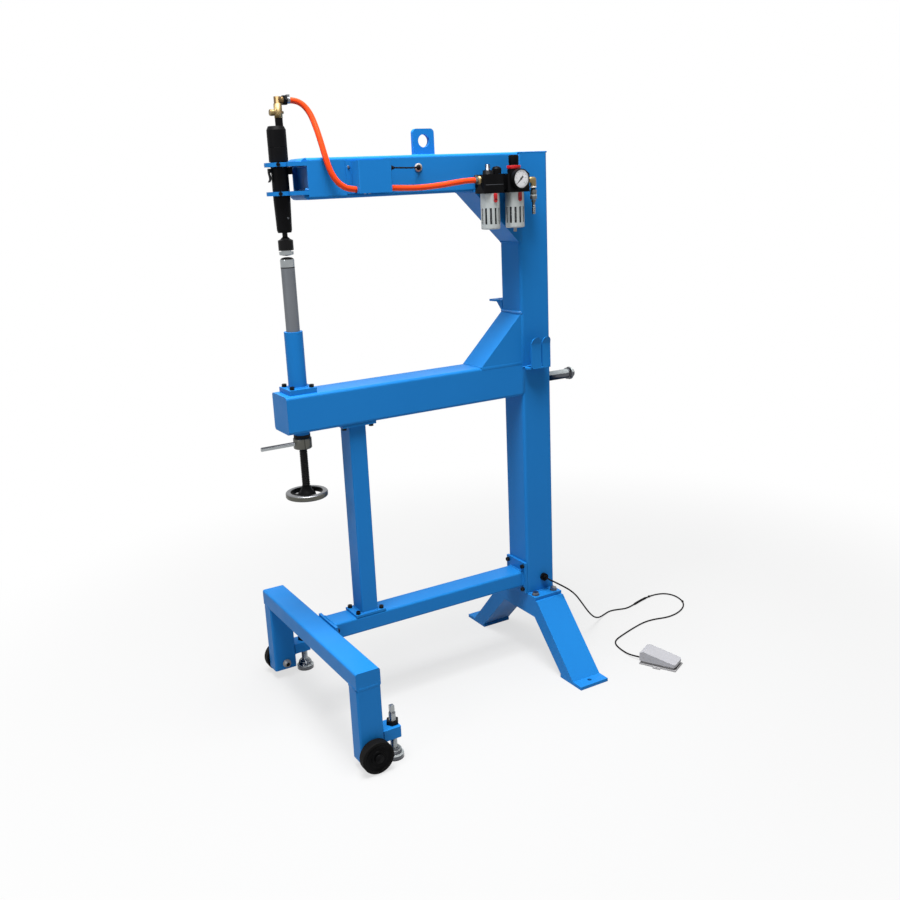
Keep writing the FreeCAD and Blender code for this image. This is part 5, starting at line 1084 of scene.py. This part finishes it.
# %% Fillings at the hammer's clamp plates
BEAM_END_X, CLAMPS_MIDDLE_Z = -685.1, 1503
FILLET_RADIUS, FILLET_REACH, FILLET_STEPS = 13, 12, 8
UPPER_WEDGE = [(-699, 1542.5), (-697, 1546), (-691, 1550.4), (-684.8, 1551.7), (-684.8, 1542.5)]
LOWER_WEDGE = [(-698, 1463.5), (-684.8, 1463.5), (-684.8, 1449.9), (-690, 1451), (-696, 1456.5)]


def wedge(outline, half):
    """A prism across the beam from an outline in X and Z."""
    return skin([[(x, y, z) for x, z in outline] for y in (-half, half)])


def inner_corner(side, up):
    """A round filling where a clamp plate meets a wall of the beam."""
    y, z = side * 46, CLAMPS_MIDDLE_Z + up * 30.3
    outline = [(y, z)]
    for step in range(FILLET_STEPS + 1):
        angle = math.radians(90 * step / FILLET_STEPS)
        outline.append((y - side * FILLET_RADIUS * (1 - math.cos(angle)),
                        z - up * FILLET_RADIUS * (1 - math.sin(angle))))
    return skin([[(x, *point) for point in outline] for x in (BEAM_END_X, BEAM_END_X + FILLET_REACH)])


in_one_finish("clamp_fillets", [wedge(UPPER_WEDGE, 46), wedge(LOWER_WEDGE, 46)], blue_enamel, "blue_paint")
in_one_finish("beam_end_corners", [inner_corner(side, up) for side in (-1, 1) for up in (-1, 1)],
              blue_enamel, "blue_paint")

# %% [markdown]
# ## The pedal holder
#
# The foot pedal hangs on a small shelf with two fingers, bent up from one plate. On the machine
# the fingers have rounded tips that lean a little away from the column, so this piece stands
# for the CAD one. A finger is a row of outlines from its foot to its tip, narrower and further
# out at each step of a quarter circle.


# %% Two fingers on a shelf
SHELF_TOP, FINGER_TOP, FINGER_Y = 942, 1012, -84.8
TIP_HEIGHT, TIP_LEAN, TIP_INSET = 18, 6, 13
TIP_STEPS = 9
PLATE = 5


def finger(left, right):
    """A bent plate with a rounded tip that leans away from the column."""
    rows = [(SHELF_TOP, 0, 0), (FINGER_TOP - 4, 0, 0), (FINGER_TOP, -0.4, 0)]
    for step in range(1, TIP_STEPS + 1):
        angle = math.radians(90 * step / TIP_STEPS)
        rows.append((FINGER_TOP + TIP_HEIGHT * math.sin(angle), -0.4 - TIP_LEAN * math.sin(angle),
                     TIP_INSET * (1 - math.cos(angle))))
    return skin([[(left + inset, FINGER_Y + lean, z), (right - inset, FINGER_Y + lean, z),
                  (right - inset, FINGER_Y + PLATE + lean, z - 0.6),
                  (left + inset, FINGER_Y + PLATE + lean, z - 0.6)] for z, lean, inset in rows])


shelf = slab((-36, FINGER_Y, 937), (27, -50.9, SHELF_TOP), edge=0.8)
shelf_end = lathe([(0, 937), (14, 937), (14, 941.8), (13.4, 942), (0, 942)], (-36, -66, 0))
in_one_finish("pedal_holder_bent", [finger(-41, -7), finger(-2, 27), shelf, shelf_end], blue_enamel,
              "blue_paint", hides=["pedal_holder"])

# %% [markdown]
# ## Small things that a finished machine has
#
# What is left is turned on the lathe: the black collar under the lower beam, screws in the
# barrel and under the valve's cover, the cone of the handwheel's hub and the rings of the hose
# peg. The lower die is drawn again, as a bright cylinder with a dark crown and a dark seam,
# and the lock ring gets its slit and the cord's strain relief its ribs.


# %% Collar, screws, hub and slit
def round_hammer(radius, degrees, z):
    """A place at a distance from the hammer's axis, and the way it faces."""
    angle = math.radians(degrees)
    way = (math.cos(angle), math.sin(angle), 0)
    return (HAMMER_X + radius * way[0], radius * way[1], z), way


in_one_finish("black_collar", [lathe([(21.8, 834.8), (22.4, 834.8), (22.4, 843), (21.8, 843)],
                                     ON_HAMMER_AXIS)], black_oxide, "black_oxide")
spot, way = round_hammer(19.2, 285, 1408)
oil_screw = lathe([(0, 0), (2.6, 0), (2.6, 1.2), (2.1, 1.6), (1.2, 1.6), (1.1, 0.9), (0, 0.9)],
                  spot, way, 24)
in_one_finish("oil_screw", [oil_screw], chrome_plate, "zinc")
for number, x in enumerate((-541, -527)):
    head = lathe([(0, 0), (3.4, 0), (3.3, 1.1), (2.2, 2.0), (0, 2.2)], (x, -72, 1460), (0, 0, -1), 24)
    in_one_finish(f"cover_foot_screw_{number}", [head], chrome_plate, "zinc")
hub_cone = lathe([(12, 697.6), (13.6, 691), (17.6, 684), (23.6, 677.5), (25, 672.5), (16.8, 671)],
                 ON_HAMMER_AXIS)
in_one_finish("hub_cone", [hub_cone], black_paint, "chrome", "screw")
spot, way = round_hammer(24.5, 262, 804.6)
in_one_finish("lock_ring_slit", [block((1.4, 1.4, 29), spot, edge=0.2)], black_oxide, "chrome",
              "lock_ring")

# %% The crowned die, the hose peg's rings and the strain relief
whole("lower_die_crowned", [
    (lathe([(17, 1285.9), (18.3, 1286), (18.4, 1286.4), (18.4, 1304), (18.1, 1305), (17.2, 1305.6)],
           ON_HAMMER_AXIS), polished_steel),
    (lathe([(17.2, 1305.6), (15.6, 1307.6), (12, 1309.5), (7, 1310.6), (0, 1311)], ON_HAMMER_AXIS),
     black_oxide),
    (lathe([(17.2, 1283.4), (18.3, 1283.6), (18.3, 1285.8), (17.2, 1286)], ON_HAMMER_AXIS), black_oxide)],
    "ground_steel", "post", ["lower_die"])

PEG_FOOT, TO_REAR = (COLUMN_HALF, 0, middle("hose_peg")[2]), (1, 0, 0)
whole("peg_rings", [
    (lathe([(14.3, 98), (17.4, 98), (17.6, 98.3), (17.6, 100.7), (17.4, 101), (14.3, 101)],
           PEG_FOOT, TO_REAR), chrome_plate),
    (lathe([(14.3, 101), (14.8, 101), (14.8, 111.8), (14.3, 111.8)], PEG_FOOT, TO_REAR), black_oxide)],
    "chrome")

GLAND = (middle("cord_gland")[0], -COLUMN_HALF, middle("cord_gland")[2])
gland_rib = block((1.5, 2.6, 8.4), (11.2, 0, 0.6), edge=0.5)
in_one_finish("gland_ribs", [ring(gland_rib, 14, moulded_black, GLAND, TO_FRONT)], moulded_black,
              "black_plastic")

# %% [markdown]
# ## Floor and light
#
# A studio floor is one large pale plane. To the camera and in reflections it is mixed with
# white, partly near the machine, where its shadow has to stay, and fully far away, so that the
# floor has no edge. A wide lamp overhead makes the tops of the tubes the brightest faces, as in
# the portrait. A small second one shines from the hammer's end, and the world fills the rest.


# %% White to the camera and to reflections
def seen_directly(tree):
    """A node that is 1 where the ray comes from the camera, a reflection or through glass."""
    path = node_of(tree, "ShaderNodeLightPath")
    either = maths(tree, "MAXIMUM")
    any_of_them = maths(tree, "MAXIMUM")
    join(tree, (path, "Is Camera Ray", either, 0), (path, "Is Glossy Ray", either, 1),
         (either, 0, any_of_them, 0), (path, "Is Transmission Ray", any_of_them, 1))
    return any_of_them


# %% The floor
FLOOR_GREY = (0.42, 0.42, 0.42)
FLOOR_HALF, FLOOR_Z = 14.0, -0.0004


def studio_floor(near_white, near_radius, far_radius):
    """A large pale plane just under the machine, whiter with the distance; in metres."""
    mesh = bpy.data.meshes.new("studio_floor")
    corners = [(-1, -1), (1, -1), (1, 1), (-1, 1)]
    mesh.from_pydata([(x * FLOOR_HALF, y * FLOOR_HALF, FLOOR_Z) for x, y in corners], [], [(0, 1, 2, 3)])
    floor = bpy.data.objects.new("studio_floor", mesh)
    bpy.context.scene.collection.objects.link(floor)
    material, tree, shader = new_material("pale_floor", FLOOR_GREY)
    fill(shader, {"Base Color": (*FLOOR_GREY, 1), "Roughness": 0.9, "Specular IOR Level": 0.1})
    glow = node_of(tree, "ShaderNodeEmission")
    mix = node_of(tree, "ShaderNodeMixShader")
    spot = node_of(tree, "ShaderNodeTexCoord")
    reach = node_of(tree, "ShaderNodeVectorMath", operation="LENGTH")
    fade = node_of(tree, "ShaderNodeMapRange", {"From Min": near_radius, "From Max": far_radius,
                                                "To Min": near_white}, interpolation_type="SMOOTHSTEP")
    both = maths(tree, "MULTIPLY")
    join(tree,
         (spot, "Object", reach, 0), (reach, "Value", fade, "Value"), (fade, "Result", both, 0),
         (seen_directly(tree), 0, both, 1), (both, 0, mix, 0), (shader, 0, mix, 1), (glow, 0, mix, 2),
         (mix, 0, tree.nodes["Material Output"], "Surface"))
    mesh.materials.append(material)
    print("floor:", 2 * FLOOR_HALF, "m wide")


studio_floor(near_white=0.68, near_radius=0.9, far_radius=2.2)


# %% The world and the lamps
def studio_world(strength):
    """White to the camera and to reflections, softer as light."""
    world = bpy.data.worlds.new("studio")
    world.use_nodes = True
    tree = world.node_tree
    tree.nodes.clear()
    level = node_of(tree, "ShaderNodeMapRange", {"To Min": strength, "To Max": 1.0})
    light = node_of(tree, "ShaderNodeBackground", {"Color": (1, 1, 1, 1)})
    out = node_of(tree, "ShaderNodeOutputWorld")
    join(tree, (seen_directly(tree), 0, level, "Value"), (level, "Result", light, "Strength"),
         (light, "Background", out, "Surface"))
    bpy.context.scene.world = world


def lamp(name, place, target, size, watts):
    """A square area lamp that looks at a point."""
    data = bpy.data.lights.new(name, "AREA")
    data.size = size
    data.energy = watts
    holder = bpy.data.objects.new(name, data)
    holder.location = place
    holder.rotation_euler = (Vector(target) - Vector(place)).to_track_quat("-Z", "Y").to_euler()
    bpy.context.scene.collection.objects.link(holder)


studio_world(strength=0.18)
lamp("overhead", place=(-0.9, -0.65, 4.5), target=(-0.3, 0.0, 0.8), size=2.2, watts=425)
lamp("operator_side", place=(-3.4, -1.0, 2.4), target=(-0.5, 0.0, 1.0), size=0.7, watts=14)
bpy.context.scene.view_settings.view_transform = "Standard"

# %% Update the scene
bpy.context.view_layer.update()
